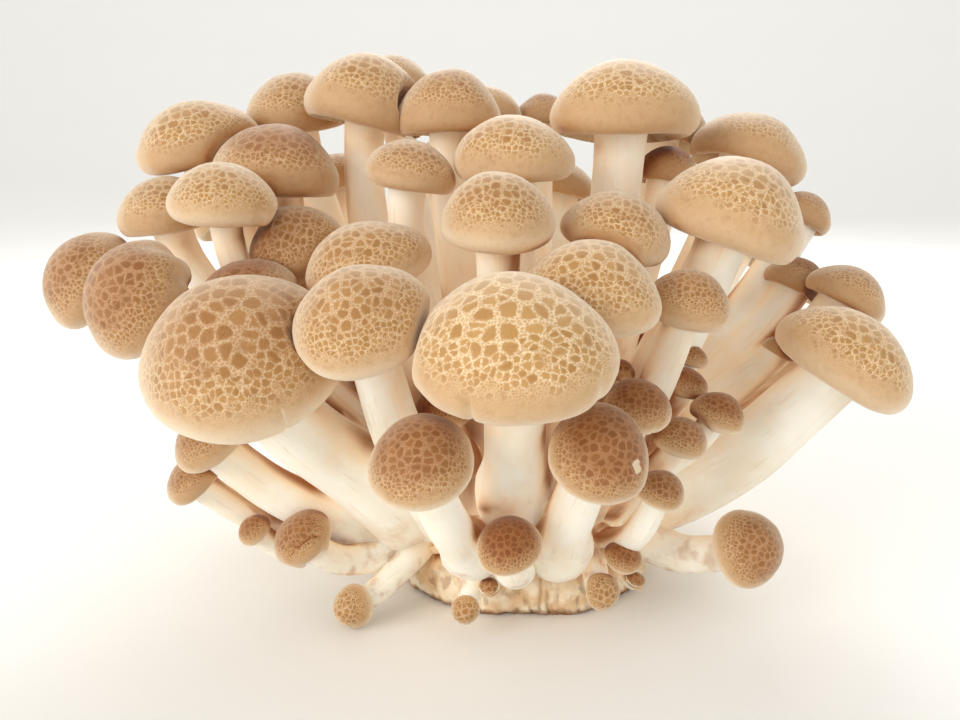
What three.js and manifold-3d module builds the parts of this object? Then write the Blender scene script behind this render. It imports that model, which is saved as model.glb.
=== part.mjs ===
import * as THREE from "three";
import { mergeVertices } from "three/addons/utils/BufferGeometryUtils.js";
import Module from "manifold-3d";

const wasm = await Module();
wasm.setup();

// A cluster of beech mushrooms that stands on its cut base. Millimetres, +Z up, the front of the cluster
// towards -Y. The origin is the middle of the cut underside.

// The cut base: the pressed foot that every stem grew from.
const BASE_RADIUS = 24;
const BASE_HEIGHT = 9;
const BASE_SIDES = 30;
const BASE_LUMP = 0.9;

// The crown: the tissue just above the base, where the stems run together.
const CROWN_FOOT = 9.4;
const CROWN_RADIUS = 22.6;
const CROWN_TOP = 46;
const CROWN_SIDES = 22;
const CROWN_PROFILE = [
  [0, 1],
  [0.45, 0.95],
  [0.76, 0.75],
  [0.86, 0.48],
  [1, 0.3],
];

// Clear gap between neighbouring pieces that touch, and how far up a cap the middle lies that presses a
// neighbour.
const SEAM = 0.32;
const PRESS_MIDDLE = 0.42;

// Pairs of caps, by number, of which the first keeps its whole shape and dents the second.
const WHOLE_AND_DENTED = [
  [27, 28],
  [5, 3],
];

// Edges shorter than this are left by a join and are closed up.
const SLIVER = 0.05;

// A cap is a dome with a margin rolled inwards, and gills from the margin to the stem. The profile is in
// shares of the cap's radius and height; the gills' folds start at the lip, and the stem meets the flat
// socket in the middle.
const CAP_HEIGHT_SHARE = 0.53;
const CAP_PROFILE = [
  [0, 1],
  [0.45, 0.895],
  [0.83, 0.62],
  [1, 0.29],
  [0.9, 0],
];
const CAP_MIDDLE = 0.3;
const CAP_WAVE = 0.035;
const GILL_LIP = 0.77;
const GILL_LOW = 0.02;
const GILL_HIGH = 0.17;
const SOCKET_HEIGHT = 0.2;
const SOCKET_DISH = 0.01;
const SOCKET_EASE = 0.15;
const SOCKET_WIDEST = 0.62;
const NOTCH_DEPTH = 0.2;
const NOTCH_SPAN = 0.45;

// A stem's width follows its cap's, and swells a little towards its foot.
const STEM_SLIMMEST = 2.4;
const STEM_SHARE = 0.29;
const FAR_STEM = 1.4;
const STEM_NECK = 0.84;
const STEM_FOOT = 1.16;
const STEM_STEP = 14;
const THICK_STEM = 9;
const STEM_BEND = 0.36;
const SWELL_PLACE = 0.25;
const SWELL_SPAN = 0.16;
const ROOT_REACH = 19;
const ROOT_SHARE = 0.36;
const ROOT_HEIGHT = 13;
const ROOT_STEEPNESS = 34;

// Every mushroom leans out from a point well under the cluster.
const FAN_DEPTH = 48;

// Caps narrower than this are buds: one body with the stems.
const BUD_WIDTH = 8.5;
const BUD_SINK = 0.5;

// The eye that the places were sighted from: millimetres, and pixels for the picture of 960 by 720.
const EYE = new THREE.Vector3(-7.7, -142.5, 68.6);
const EYE_PITCH = THREE.MathUtils.degToRad(12);
const SIGHT = { middleU: 480, middleV: 360, focal: 800 };

const CREAM = 0xf0e2cc;
const TAN = 0xb99a76;
const CAP_TONES = [0xc39a68, 0xb98e5c, 0xcaa476, 0xae8350];

// Mushrooms seen from the front. seen is the middle of the cap in the picture and depth its y; width is
// the real width of the cap. Where it is given, lean is the axis's slope to the right and to the back,
// axis the whole direction, stem the stem's width, root where the stem leaves the crown, rise the first
// bend of the stem, swell how much thicker the stem is near its foot, flat the cap's height as a share of
// its width, and notch the direction, in degrees, of a bite in the margin.
const SEEN = [
  { seen: [198, 144], depth: 8, width: 22.5, lean: [-0.26, -0.16], flat: 0.46 },
  { seen: [296, 113], depth: 22, width: 20, lean: [-0.12, -0.12] },
  {
    seen: [368, 105], depth: 10, width: 22.8, lean: [0.2, -0.02], stem: 8,
    root: [-12, 3, 14], flat: 0.55,
  },
  { seen: [392, 90], depth: 28, width: 17, flat: 0.56 },
  { seen: [450, 115], depth: 6, width: 18.6, lean: [0.04, 0], flat: 0.6 },
  { seen: [486, 117], depth: 30, width: 14.5, flat: 0.6 },
  { seen: [543, 118], depth: 34, width: 12, flat: 0.6 },
  { seen: [622, 114], depth: 2, width: 25, lean: [0.03, 0.02], root: [8, 1, 14], flat: 0.5 },
  { seen: [658, 130], depth: 24, width: 19, stem: 9.5 },
  { seen: [748, 154], depth: 14, width: 21.5, stem: 10.5, flat: 0.49 },
  { seen: [802, 216], depth: 12, width: 11, stem: 7.5, flat: 0.6 },
  { seen: [668, 173], depth: 8, width: 11.5, stem: 7.2, flat: 0.6 },
  { seen: [167, 212], depth: -2, width: 16.5, lean: [-0.12, -0.2], flat: 0.52 },
  { seen: [277, 170], depth: 0, width: 22, lean: [0.08, -0.14], flat: 0.5 },
  { seen: [224, 202], depth: -17, width: 17, lean: [0.1, -0.16], stem: 5.5, flat: 0.5 },
  { seen: [410, 172], depth: -8, width: 15.3, lean: [0.2, -0.1], flat: 0.48 },
  { seen: [512, 160], depth: -8, width: 20.5, flat: 0.49, notch: 250 },
  { seen: [497, 221], depth: -24, width: 17.5, lean: [-0.02, -0.12], flat: 0.58 },
  { seen: [617, 232], depth: -18, width: 18, lean: [0.2, -0.18], flat: 0.48 },
  { seen: [733, 216], depth: -14, width: 24.5 },
  { seen: [795, 282], depth: 7, width: 12, stem: 8, flat: 0.55 },
  { seen: [846, 295], depth: -1, width: 15.2, stem: 8.4, flat: 0.47 },
  { seen: [88, 278], depth: -6, width: 17.5, axis: [-0.6, -0.5, 0.55] },
  { seen: [138, 294], depth: -22, width: 19, axis: [-0.5, -0.65, 0.5], notch: 35 },
  { seen: [295, 248], depth: -12, width: 16, lean: [-0.4, -0.5], flat: 0.58 },
  { seen: [367, 264], depth: -21, width: 19, flat: 0.48 },
  { seen: [361, 320], depth: -40, width: 18, lean: [-0.18, -0.55], root: [-14, -17, 13], flat: 0.56 },
  {
    seen: [243, 356], depth: -34, width: 27.8, lean: [-0.1, -0.5], stem: 11.8, root: [-18, -15, 13],
    flat: 0.56,
  },
  { seen: [243, 299], depth: -22, width: 17, flat: 0.46 },
  {
    seen: [514, 347], depth: -44, width: 25.5, stem: 9.2, root: [-2, -19, 15],
    rise: [-2, -30, 26], swell: 0.25, flat: 0.49,
  },
  { seen: [590, 293], depth: -31, width: 19.5, root: [6, -14, 14] },
  { seen: [688, 304], depth: -26, width: 12, root: [12, -12, 14], flat: 0.62 },
  {
    seen: [842, 360], depth: -14, width: 23, stem: 11.5, root: [17, -7, 13],
    rise: [31, -10, 18], flat: 0.5,
  },
  { seen: [781, 350], depth: -3, width: 6.5, stem: 5.4 },
  {
    seen: [211, 439], depth: -24, width: 12.8, stem: 7.6, flat: 0.5, root: [-17, -13, 12],
    rise: [-31, -18, 13],
  },
  { seen: [194, 478], depth: -20, width: 10.5, root: [-19, -7, 12], rise: [-32, -12, 8], flat: 0.46 },
  { seen: [254, 530], depth: -22, width: 5.8, root: [-19, -9, 12], rise: [-32, -15, 8] },
  { seen: [302, 537], depth: -26, width: 10, root: [-17, -12, 12], rise: [-26, -20, 7], flat: 0.5 },
  {
    seen: [421, 460], depth: -46, width: 14.2, flat: 0.49,
    root: [-8, -19, 13], rise: [-8, -32, 12], swell: 0.4,
  },
  {
    seen: [601, 452], depth: -42, width: 14, lean: [0.3, -1], root: [5, -19, 13],
    rise: [3, -32, 12], stem: 7.4, swell: 0.4,
  },
  { seen: [638, 406], depth: -32, width: 10, root: [9, -16, 13] },
  {
    seen: [509, 544], depth: -40, width: 9.2, stem: 5.6, root: [-2, -20, 12.5],
    rise: [-2, -29, 10], swell: 0.35, flat: 0.46,
  },
  {
    seen: [353, 606], depth: -26, width: 6.8, axis: [-0.6, -0.8, 0.12],
    root: [-15, -14, 12], rise: [-21, -22, 8], flat: 0.72,
  },
  {
    seen: [465, 610], depth: -29, width: 4.6, axis: [-0.2, -0.9, 0.1],
    root: [-8, -20, 11.5], rise: [-9, -27, 10],
  },
  {
    seen: [749, 548], depth: -25, width: 12.6, axis: [0.5, -0.75, 0.42],
    root: [16, -13, 12], rise: [27, -20, 7],
  },
  { seen: [661, 490], depth: -33, width: 7.2, root: [10, -17, 12], rise: [16, -27, 12] },
  { seen: [681, 438], depth: -28, width: 8.2, root: [12, -15, 12] },
  { seen: [718, 414], depth: -25, width: 8.2, root: [14, -12, 13], flat: 0.58 },
  { seen: [690, 357], depth: -14, width: 5.8 },
  { seen: [685, 384], depth: -18, width: 7.2 },
  { seen: [623, 557], depth: -28, width: 5.8, root: [11, -17, 12] },
  { seen: [635, 580], depth: -25, width: 3.4, root: [14, -15, 12] },
  {
    seen: [603, 592], depth: -29, width: 5.8, axis: [0.3, -0.9, 0.15], root: [9, -19, 12],
    rise: [11, -27, 11],
  },
  { seen: [489, 587], depth: -29, width: 3.4, root: [-5, -21, 12] },
  { seen: [443, 408], depth: -23, width: 9.6 },
  { seen: [620, 371], depth: -20, width: 5 },
];

// Mushrooms on the far side, given by their place.
const BEHIND = [
  { at: [-59, 25, 64], width: 17.5 },
  { at: [-39, 39, 69], width: 20 },
  { at: [-15, 46, 72], width: 21.5 },
  { at: [10, 48, 68], width: 19.5 },
  { at: [30, 40, 67], width: 18.5 },
  { at: [46, 28, 58], width: 16.5 },
  { at: [2, 21, 74], width: 13 },
  { at: [-53, 36, 42], width: 16.5 },
  { at: [-30, 52, 47], width: 19.5 },
  { at: [-5, 59, 48], width: 20.5 },
  { at: [19, 54, 44], width: 18 },
  { at: [40, 41, 40], width: 16 },
  { at: [-40, 35, 23], width: 11 },
  { at: [-14, 46, 26], width: 12.5 },
  { at: [11, 42, 21], width: 9.5 },
  { at: [31, 34, 22], width: 11 },
  { at: [-45, 14, 20], width: 7.2 },
  { at: [-25, 34, 14], width: 6.4 },
  { at: [38, 14, 18], width: 7.2 },
  { at: [22, 33, 12], width: 6 },
];

// A repeatable stream of numbers from 0 to 1.
function randomStream(seed) {
  let state = seed;
  return () => {
    state = (state * 1664525 + 1013904223) % 4294967296;
    return state / 4294967296;
  };
}

// The place in the cluster of a point of the picture whose depth is known.
function sighted([u, v], depth) {
  const across = (u - SIGHT.middleU) / SIGHT.focal;
  const above = (SIGHT.middleV - v) / SIGHT.focal;
  const ray = new THREE.Vector3(across, 1, above).applyAxisAngle(new THREE.Vector3(1, 0, 0), -EYE_PITCH);
  return EYE.clone().addScaledVector(ray, (depth - EYE.y) / ray.y);
}

// A closed three.js geometry as a solid that can be joined and cut.
function solidOf(geometry) {
  const bare = geometry.clone();
  bare.deleteAttribute("normal");
  bare.deleteAttribute("uv");
  const merged = mergeVertices(bare, 1e-4);
  const corners = [];
  for (let i = 0; i < merged.index.count; i += 3) {
    const [a, b, c] = merged.index.array.slice(i, i + 3);
    if (a !== b && b !== c && c !== a) {
      corners.push(a, b, c);
    }
  }
  return new wasm.Manifold(
    new wasm.Mesh({
      numProp: 3,
      vertProperties: new Float32Array(merged.attributes.position.array),
      triVerts: new Uint32Array(corners),
    }),
  );
}

// The three.js geometry of a solid.
function geometryOf(solid) {
  const mesh = solid.getMesh();
  const geometry = new THREE.BufferGeometry();
  geometry.setAttribute("position", new THREE.BufferAttribute(new Float32Array(mesh.vertProperties), 3));
  geometry.setIndex(new THREE.BufferAttribute(new Uint32Array(mesh.triVerts), 1));
  geometry.computeVertexNormals();
  return geometry;
}

// The one main body of a joined solid, without loose scraps, sealed hollows or slivers.
function wholeBody(solid) {
  const bodies = solid.asOriginal().simplify(SLIVER).decompose();
  return bodies.reduce((main, body) => (body.volume() > main.volume() ? body : main));
}

// Moves every vertex of a geometry by a function that changes the vector it is given.
function reshape(geometry, change) {
  const place = geometry.attributes.position;
  const point = new THREE.Vector3();
  for (let i = 0; i < place.count; i += 1) {
    point.fromBufferAttribute(place, i);
    change(point);
    place.setXYZ(i, point.x, point.y, point.z);
  }
  return geometry;
}

// A profile of [radius, height] pairs turned round +Z, with the profile given from the top down.
function turned(profile, sides) {
  const points = profile.map(([radius, height]) => new THREE.Vector2(radius, height));
  return new THREE.LatheGeometry(points.reverse(), sides).rotateX(Math.PI / 2);
}

// Fills in a mushroom's sizes: the cap's seat is the middle of the plane that its margin lies in.
function measured(mushroom, index) {
  const random = randomStream(977 + 131 * index);
  const middle = mushroom.at ? new THREE.Vector3(...mushroom.at) : sighted(mushroom.seen, mushroom.depth);
  const axis = new THREE.Vector3(middle.x, middle.y, middle.z + FAN_DEPTH);
  if (mushroom.lean) {
    axis.set(mushroom.lean[0], mushroom.lean[1], 1);
  }
  if (mushroom.axis) {
    axis.set(...mushroom.axis);
  }
  axis.normalize();
  const height = mushroom.width * (mushroom.flat ?? CAP_HEIGHT_SHARE);
  const seat = middle.clone().addScaledVector(axis, -CAP_MIDDLE * height);
  const outward = new THREE.Vector3(middle.x, middle.y, 0);
  outward.setLength(Math.min(ROOT_REACH, ROOT_SHARE * outward.length()));
  const root = mushroom.root ? new THREE.Vector3(...mushroom.root) : outward.setZ(ROOT_HEIGHT);
  return {
    axis,
    seat,
    root,
    height,
    width: mushroom.width,
    radius: mushroom.width / 2,
    stem: mushroom.stem ?? (STEM_SLIMMEST + STEM_SHARE * mushroom.width) * (mushroom.at ? FAR_STEM : 1),
    swell: mushroom.swell ?? 0,
    rise: mushroom.rise ? new THREE.Vector3(...mushroom.rise) : null,
    notch: mushroom.notch === undefined ? null : THREE.MathUtils.degToRad(mushroom.notch),
    isBud: mushroom.width < BUD_WIDTH,
    wave: [random() * Math.PI * 2, random() * Math.PI * 2],
    tone: CAP_TONES[Math.floor(random() * CAP_TONES.length)],
  };
}

// The turn and place that carry a cap from its own frame to the cluster's.
function capPlace(mushroom) {
  const turn = new THREE.Quaternion().setFromUnitVectors(new THREE.Vector3(0, 0, 1), mushroom.axis);
  return new THREE.Matrix4().compose(mushroom.seat, turn, new THREE.Vector3(1, 1, 1));
}

// A cap in the cluster's frame: a dome, a rolled margin, folds for the gills and a small flat round over
// the stem.
function capGeometry(mushroom) {
  const { radius, height, stem, notch, wave } = mushroom;
  const sides = 2 * Math.round((5.6 + 0.36 * mushroom.width) / 2);
  const socket = Math.min((stem * STEM_NECK) / 2 + SEAM + SOCKET_EASE, SOCKET_WIDEST * radius);
  const lip = GILL_LIP * radius;
  const profile = CAP_PROFILE.map(([out, up]) => [out * radius, up * height]);
  profile.push([lip, GILL_LOW * height]);
  profile.push([socket, SOCKET_HEIGHT * height]);
  profile.push([0, (SOCKET_HEIGHT + SOCKET_DISH) * height]);
  const cap = turned(profile, sides);
  reshape(cap, (point) => {
    const angle = Math.atan2(point.y, point.x);
    const out = Math.hypot(point.x, point.y);
    if (Math.abs(out - lip) < 0.01) {
      const fold = Math.round(((angle + Math.PI / 2) * sides) / (2 * Math.PI)) % 2 === 0;
      point.z = (fold ? GILL_LOW : GILL_HIGH) * height;
    }
    if (out > socket + 0.01) {
      const share = out / radius;
      const wavy = Math.cos(2 * angle + wave[0]) + 0.7 * Math.cos(3 * angle + wave[1]);
      let grow = 1 + CAP_WAVE * share * wavy;
      if (notch !== null) {
        const away = Math.atan2(Math.sin(angle - notch), Math.cos(angle - notch));
        grow -= NOTCH_DEPTH * share * share * Math.exp(-((away / NOTCH_SPAN) ** 2));
      }
      point.x *= grow;
      point.y *= grow;
    }
  });
  return cap.applyMatrix4(capPlace(mushroom));
}

// The line that a stem follows, from deep in the crown to its cap.
function stemLine(mushroom) {
  const end = mushroom.isBud ? BUD_SINK * mushroom.height : SOCKET_HEIGHT * mushroom.height - SEAM;
  const top = mushroom.seat.clone().addScaledVector(mushroom.axis, end);
  const span = top.distanceTo(mushroom.root);
  const start = new THREE.Vector3(mushroom.root.x, mushroom.root.y, ROOT_STEEPNESS).normalize();
  const rise = mushroom.rise ?? mushroom.root.clone().addScaledVector(start, STEM_BEND * span);
  const arrive = top.clone().addScaledVector(mushroom.axis, -STEM_BEND * span);
  return new THREE.CubicBezierCurve3(mushroom.root, rise, arrive, top);
}

// A stem: a slim swelling post, bent along its line, and thicker by the margin given.
function stemGeometry(mushroom, margin) {
  const line = stemLine(mushroom);
  const span = line.getLength();
  const steps = span > 3.5 * STEM_STEP ? 4 : 3;
  const sides = mushroom.stem > THICK_STEM ? 8 : 6;
  const profile = [[0, 1]];
  for (let step = steps; step >= 0; step -= 1) {
    const share = step / steps;
    const bulge = mushroom.swell * Math.exp(-(((share - SWELL_PLACE) / SWELL_SPAN) ** 2));
    const swell = STEM_FOOT + (STEM_NECK - STEM_FOOT) * share + bulge;
    profile.push([(mushroom.stem * swell) / 2 + margin, share]);
  }
  profile.push([0, 0]);
  const post = turned(profile, sides);
  const frames = line.computeFrenetFrames(steps, false);
  return reshape(post, (point) => {
    const share = Math.min(1, Math.max(0, point.z));
    const step = Math.round(share * steps);
    const across = frames.normals[step].clone().multiplyScalar(point.x);
    across.addScaledVector(frames.binormals[step], point.y);
    point.copy(line.getPointAt(share)).add(across);
  });
}

// The crown that the stems rise from.
function crownGeometry() {
  const profile = CROWN_PROFILE.map(([out, up]) => [out * CROWN_RADIUS, up * CROWN_TOP]);
  return turned([...profile, [CROWN_RADIUS, CROWN_FOOT], [0, CROWN_FOOT]], CROWN_SIDES);
}

// The cut base: a low round foot with lumps round its side, flat above and below.
function baseGeometry(top, margin) {
  const foot = turned(
    [
      [0, top],
      [0.94 * BASE_RADIUS, top],
      [BASE_RADIUS, 0.7 * BASE_HEIGHT],
      [BASE_RADIUS, 0.3 * BASE_HEIGHT],
      [0.95 * BASE_RADIUS, 0],
      [0, 0],
    ],
    BASE_SIDES,
  );
  return reshape(foot, (point) => {
    const out = Math.hypot(point.x, point.y);
    if (out > 1) {
      const angle = Math.atan2(point.y, point.x);
      const lump = 0.6 * Math.sin(5 * angle + 0.2 * point.z) + 0.4 * Math.sin(9 * angle - 0.3 * point.z);
      const grow = (out + BASE_LUMP * lump + margin) / out;
      point.x *= grow;
      point.y *= grow;
    }
  });
}

// How far a cap reaches from its middle in a direction, taken as a flattened ball.
function capReach(mushroom, direction) {
  const along = direction.dot(mushroom.axis);
  const thin = mushroom.height / 2;
  return Math.sqrt(mushroom.radius ** 2 * (1 - along * along) + thin * thin * along * along);
}

// The room that a mushroom's cap takes from its neighbours: a seam larger all round, and closed beneath.
function capRoom(mushroom) {
  const larger = {
    ...mushroom,
    radius: mushroom.radius + SEAM,
    height: mushroom.height + 2 * SEAM,
    seat: mushroom.seat.clone().addScaledVector(mushroom.axis, -SEAM),
  };
  return solidOf(capGeometry(larger)).hull();
}

// Where two caps press on each other, both are cut flat along the plane between them, a seam apart, or
// one is dented by the other.
function pressedCaps(mushrooms) {
  const caps = mushrooms.map((mushroom) => solidOf(capGeometry(mushroom)));
  const middles = mushrooms.map(({ seat, axis, height }) =>
    seat.clone().addScaledVector(axis, PRESS_MIDDLE * height),
  );
  for (let first = 0; first < caps.length; first += 1) {
    for (let second = first + 1; second < caps.length; second += 1) {
      if (WHOLE_AND_DENTED.some(([whole, dented]) => whole === first + 1 && dented === second + 1)) {
        caps[second] = caps[second].subtract(capRoom(mushrooms[first]));
        continue;
      }
      if (WHOLE_AND_DENTED.some(([whole, dented]) => whole === second + 1 && dented === first + 1)) {
        caps[first] = caps[first].subtract(capRoom(mushrooms[second]));
        continue;
      }
      const between = middles[second].clone().sub(middles[first]);
      const span = between.length();
      between.normalize();
      const near = capReach(mushrooms[first], between);
      const far = capReach(mushrooms[second], between);
      if (near + far + SEAM > span && caps[first].intersect(caps[second]).volume() > 0) {
        const wall = middles[first].dot(between) + (span * near) / (near + far);
        const normal = between.toArray();
        const opposite = between.clone().negate().toArray();
        caps[first] = caps[first].trimByPlane(opposite, -(wall - SEAM / 2));
        caps[second] = caps[second].trimByPlane(normal, wall + SEAM / 2);
      }
    }
  }
  return caps;
}

const mushrooms = [...SEEN, ...BEHIND].map(measured);
const grown = mushrooms.filter((mushroom) => !mushroom.isBud);
const buds = mushrooms.filter((mushroom) => mushroom.isBud);

// The stems, the crown and the buds' caps are one body, clear of the base.
let stems = solidOf(crownGeometry());
for (const mushroom of mushrooms) {
  stems = stems.add(solidOf(stemGeometry(mushroom, 0)));
}
for (const bud of buds) {
  stems = stems.add(solidOf(capGeometry(bud)));
}
stems = wholeBody(stems.subtract(solidOf(baseGeometry(BASE_HEIGHT + SEAM, SEAM))));

// A cap that a neighbour's stem or bud presses into is dented by it.
const caps = pressedCaps(grown);
for (const neighbour of mushrooms) {
  const dent = solidOf(stemGeometry(neighbour, SEAM));
  grown.forEach((mushroom, index) => {
    if (mushroom !== neighbour) {
      caps[index] = caps[index].subtract(dent);
    }
  });
}
for (const bud of buds) {
  const dent = capRoom(bud);
  caps.forEach((cap, index) => {
    caps[index] = cap.subtract(dent);
  });
}

// A named mesh of the cluster, with its own dull, moist finish.
function piece(name, geometry, color, roughness) {
  const mesh = new THREE.Mesh(geometry, new THREE.MeshStandardMaterial({ color, roughness, metalness: 0 }));
  mesh.name = name;
  return mesh;
}

const group = new THREE.Group();
group.name = "beech_mushroom_cluster";
group.add(piece("base", geometryOf(solidOf(baseGeometry(BASE_HEIGHT, 0))), TAN, 0.85));
group.add(piece("stems", geometryOf(stems), CREAM, 0.6));
grown.forEach((mushroom, index) => {
  const name = `cap_${String(index + 1).padStart(2, "0")}`;
  const place = capPlace(mushroom);
  const geometry = geometryOf(wholeBody(caps[index])).applyMatrix4(place.clone().invert());
  const mesh = piece(name, geometry, mushroom.tone, 0.55);
  mesh.applyMatrix4(place);
  group.add(mesh);
});

export default group;
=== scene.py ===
"""Looks of a cluster of beech mushrooms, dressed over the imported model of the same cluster.

The caps, stems, buds and cut foot are modelled here in full detail, each in the place that its CAD solid
holds. Lengths in the tables are millimetres, as in the part's own source; every mesh is in metres.
"""

from __future__ import annotations

import logging
import math
from collections.abc import Sequence
from dataclasses import dataclass, field
from enum import Enum

import bmesh
import bpy
from mathutils import Matrix, Vector, noise
from mathutils.bvhtree import BVHTree


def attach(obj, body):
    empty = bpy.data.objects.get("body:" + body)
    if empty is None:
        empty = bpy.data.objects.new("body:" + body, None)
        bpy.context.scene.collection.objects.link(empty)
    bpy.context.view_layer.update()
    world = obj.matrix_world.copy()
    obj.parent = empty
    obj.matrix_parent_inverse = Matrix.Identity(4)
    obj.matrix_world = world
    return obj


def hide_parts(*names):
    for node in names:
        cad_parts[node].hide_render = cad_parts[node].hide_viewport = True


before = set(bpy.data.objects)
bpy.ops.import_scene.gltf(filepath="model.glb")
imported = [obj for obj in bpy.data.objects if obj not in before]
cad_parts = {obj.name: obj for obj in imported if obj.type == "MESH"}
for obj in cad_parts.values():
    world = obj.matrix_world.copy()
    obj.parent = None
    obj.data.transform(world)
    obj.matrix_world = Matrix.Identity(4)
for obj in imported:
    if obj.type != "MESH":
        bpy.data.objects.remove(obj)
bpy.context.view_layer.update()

log = logging.getLogger("beech_mushrooms")

MM = 0.001

# The photograph's viewpoint: its place in millimetres and how far it looks down. The picture's width and
# middle and the focal length are in pixels, the film's width and the lens in millimetres.
EYE = Vector((-7.7, -142.5, 68.6))
EYE_PITCH = math.radians(12)
PICTURE_WIDTH = 960
PICTURE_MIDDLE = (480, 360)
FOCAL = 800
FILM_WIDTH = 36.0
EYE_LENS = FILM_WIDTH * FOCAL / PICTURE_WIDTH

# As in the part's source: the middle of a cap, the point that every mushroom leans out from, the stems'
# widths and roots, and the widest bud.
CAP_MIDDLE = 0.3
FAN_DEPTH = 48
STEM_SLIMMEST = 2.4
STEM_SHARE = 0.29
FAR_STEM = 1.4
STEM_BEND = 0.36
ROOT_REACH = 19
ROOT_SHARE = 0.36
ROOT_HEIGHT = 13
ROOT_STEEPNESS = 34
BUD_WIDTH = 8.5
BUD_SINK = 0.5

# As in the part's source: seeds of the random numbers, and the step from one number to the next.
SEED_START = 977
SEED_STEP = 131
DRAW_FACTOR = 1664525
DRAW_SHIFT = 1013904223
DRAW_RANGE = 2**32

# Shares of the cap's radius and height: over the dome to the lip where the gills start, and beneath it.
DOME = (
    (0.0, 1.0), (0.10, 0.997), (0.21, 0.982), (0.32, 0.952), (0.43, 0.907), (0.54, 0.846), (0.64, 0.778),
    (0.735, 0.70), (0.82, 0.612), (0.89, 0.52), (0.945, 0.43), (0.98, 0.35), (0.997, 0.275),
    (1.0, 0.20), (0.985, 0.125), (0.95, 0.055), (0.90, 0.005), (0.845, -0.015),
)
UNDER = ((0.80, -0.005), (0.75, 0.03), (0.67, 0.075), (0.58, 0.11), (0.49, 0.14), (0.40, 0.17))
LIP_ROW = len(DOME) - 1
MARGIN_ROW = 12

# Height of the socket over the stem, as a share of the cap's, and the seam between solids in millimetres.
SOCKET = 0.2
SEAM = 0.32

# Radius and height in millimetres of the tissue under the stems, from its top to its underside.
CROWN = (
    (0.0, 46.0), (4.0, 45.6), (10.0, 43.0), (14.0, 39.5), (17.0, 34.5), (18.6, 29.0), (19.4, 22.0),
    (20.8, 17.0), (22.4, 13.5), (22.9, 11.0), (22.0, 9.4), (0.0, 9.4),
)

# Shares of the foot's radius and height, and a shift of the pattern of its clefts.
FOOT = (
    (0.0, 1.0), (0.4, 1.0), (0.7, 1.0), (0.86, 0.99), (0.935, 0.95), (0.975, 0.86), (0.995, 0.74),
    (1.005, 0.6), (1.005, 0.46), (1.0, 0.32), (0.99, 0.2), (0.975, 0.1), (0.955, 0.03), (0.94, 0.0),
    (0.8, 0.0), (0.5, 0.0), (0.0, 0.0),
)
CLEFTS = Vector((7.3, 2.1, 0.0))

# Radius and height in metres of the studio's floor, which curves up into a backdrop.
SWEEP = (
    (0.0, 0.0), (0.3, 0.0), (0.7, 0.0), (1.1, 0.0), (1.4, 0.02), (1.7, 0.09), (1.95, 0.22), (2.15, 0.42),
    (2.3, 0.68), (2.38, 1.0), (2.4, 1.4),
)

# Pairs of caps of which the first keeps its whole shape and dents the second, and the height that a cap
# is pressed from, as a share of its own.
WHOLE_AND_DENTED = (("cap_27", "cap_28"), ("cap_05", "cap_03"))
PRESS_MIDDLE = 0.42

# Turn from one point to the next that spreads points evenly round a circle or ball.
GOLDEN_ANGLE = math.pi * (3 - math.sqrt(5))

WHITE = (1.0, 1.0, 1.0, 1.0)
BLACK = (0.0, 0.0, 0.0, 1.0)
HALF = (0.5, 0.5, 0.5)


class Slot(Enum):
    """Material slots of the record: those of the caps, the stems and the base."""

    CAP = "cap"
    STEM = "stem"
    BASE = "base"


@dataclass(frozen=True)
class Mushroom:
    """One grown mushroom, in millimetres.

    Args:
        name: the CAD node of its cap, or its own name where the cap is one with the stems.
        seat: middle of the plane that the margin lies in.
        axis: direction that the cap faces.
        width: the cap's width.
        height: the cap's height.
        stem: the stem's width.
        root: start of the stem in the crown.
        rise: first bend of the stem.
        wave: phases of the waves in the margin.
        notch: direction of a bite in the margin, or None.
        swell: how much thicker the stem is near its foot, as a share of its width.
    """

    name: str
    seat: Vector
    axis: Vector
    width: float
    height: float
    stem: float
    root: Vector
    rise: Vector
    wave: tuple[float, float]
    notch: float | None
    swell: float

    @property
    def radius(self) -> float:
        """Half of the cap's width."""
        return self.width / 2

    @property
    def is_bud(self) -> bool:
        """True where the cap is one body with the stems."""
        return self.name.startswith("bud")

    @property
    def middle(self) -> Vector:
        """The point that presses on the neighbours."""
        return self.seat + self.axis * (PRESS_MIDDLE * self.height)

    @property
    def number(self) -> int:
        """The number in the name."""
        return int(self.name[-2:]) + (100 if self.is_bud else 0)

    def place(self) -> Matrix:
        """The turn and place that carry the cap from its own frame to the cluster's."""
        turn = Vector((0, 0, 1)).rotation_difference(self.axis)
        return Matrix.Translation(self.seat) @ turn.to_matrix().to_4x4()

    def reach(self, direction: Vector) -> float:
        """How far the cap reaches from its middle, taken as a flattened ball.

        Args:
            direction: a direction of unit length.

        Returns:
            The reach in millimetres.
        """
        along = direction.dot(self.axis)
        thin = self.height / 2
        return math.sqrt(self.radius**2 * (1 - along * along) + (thin * along) ** 2)


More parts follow.
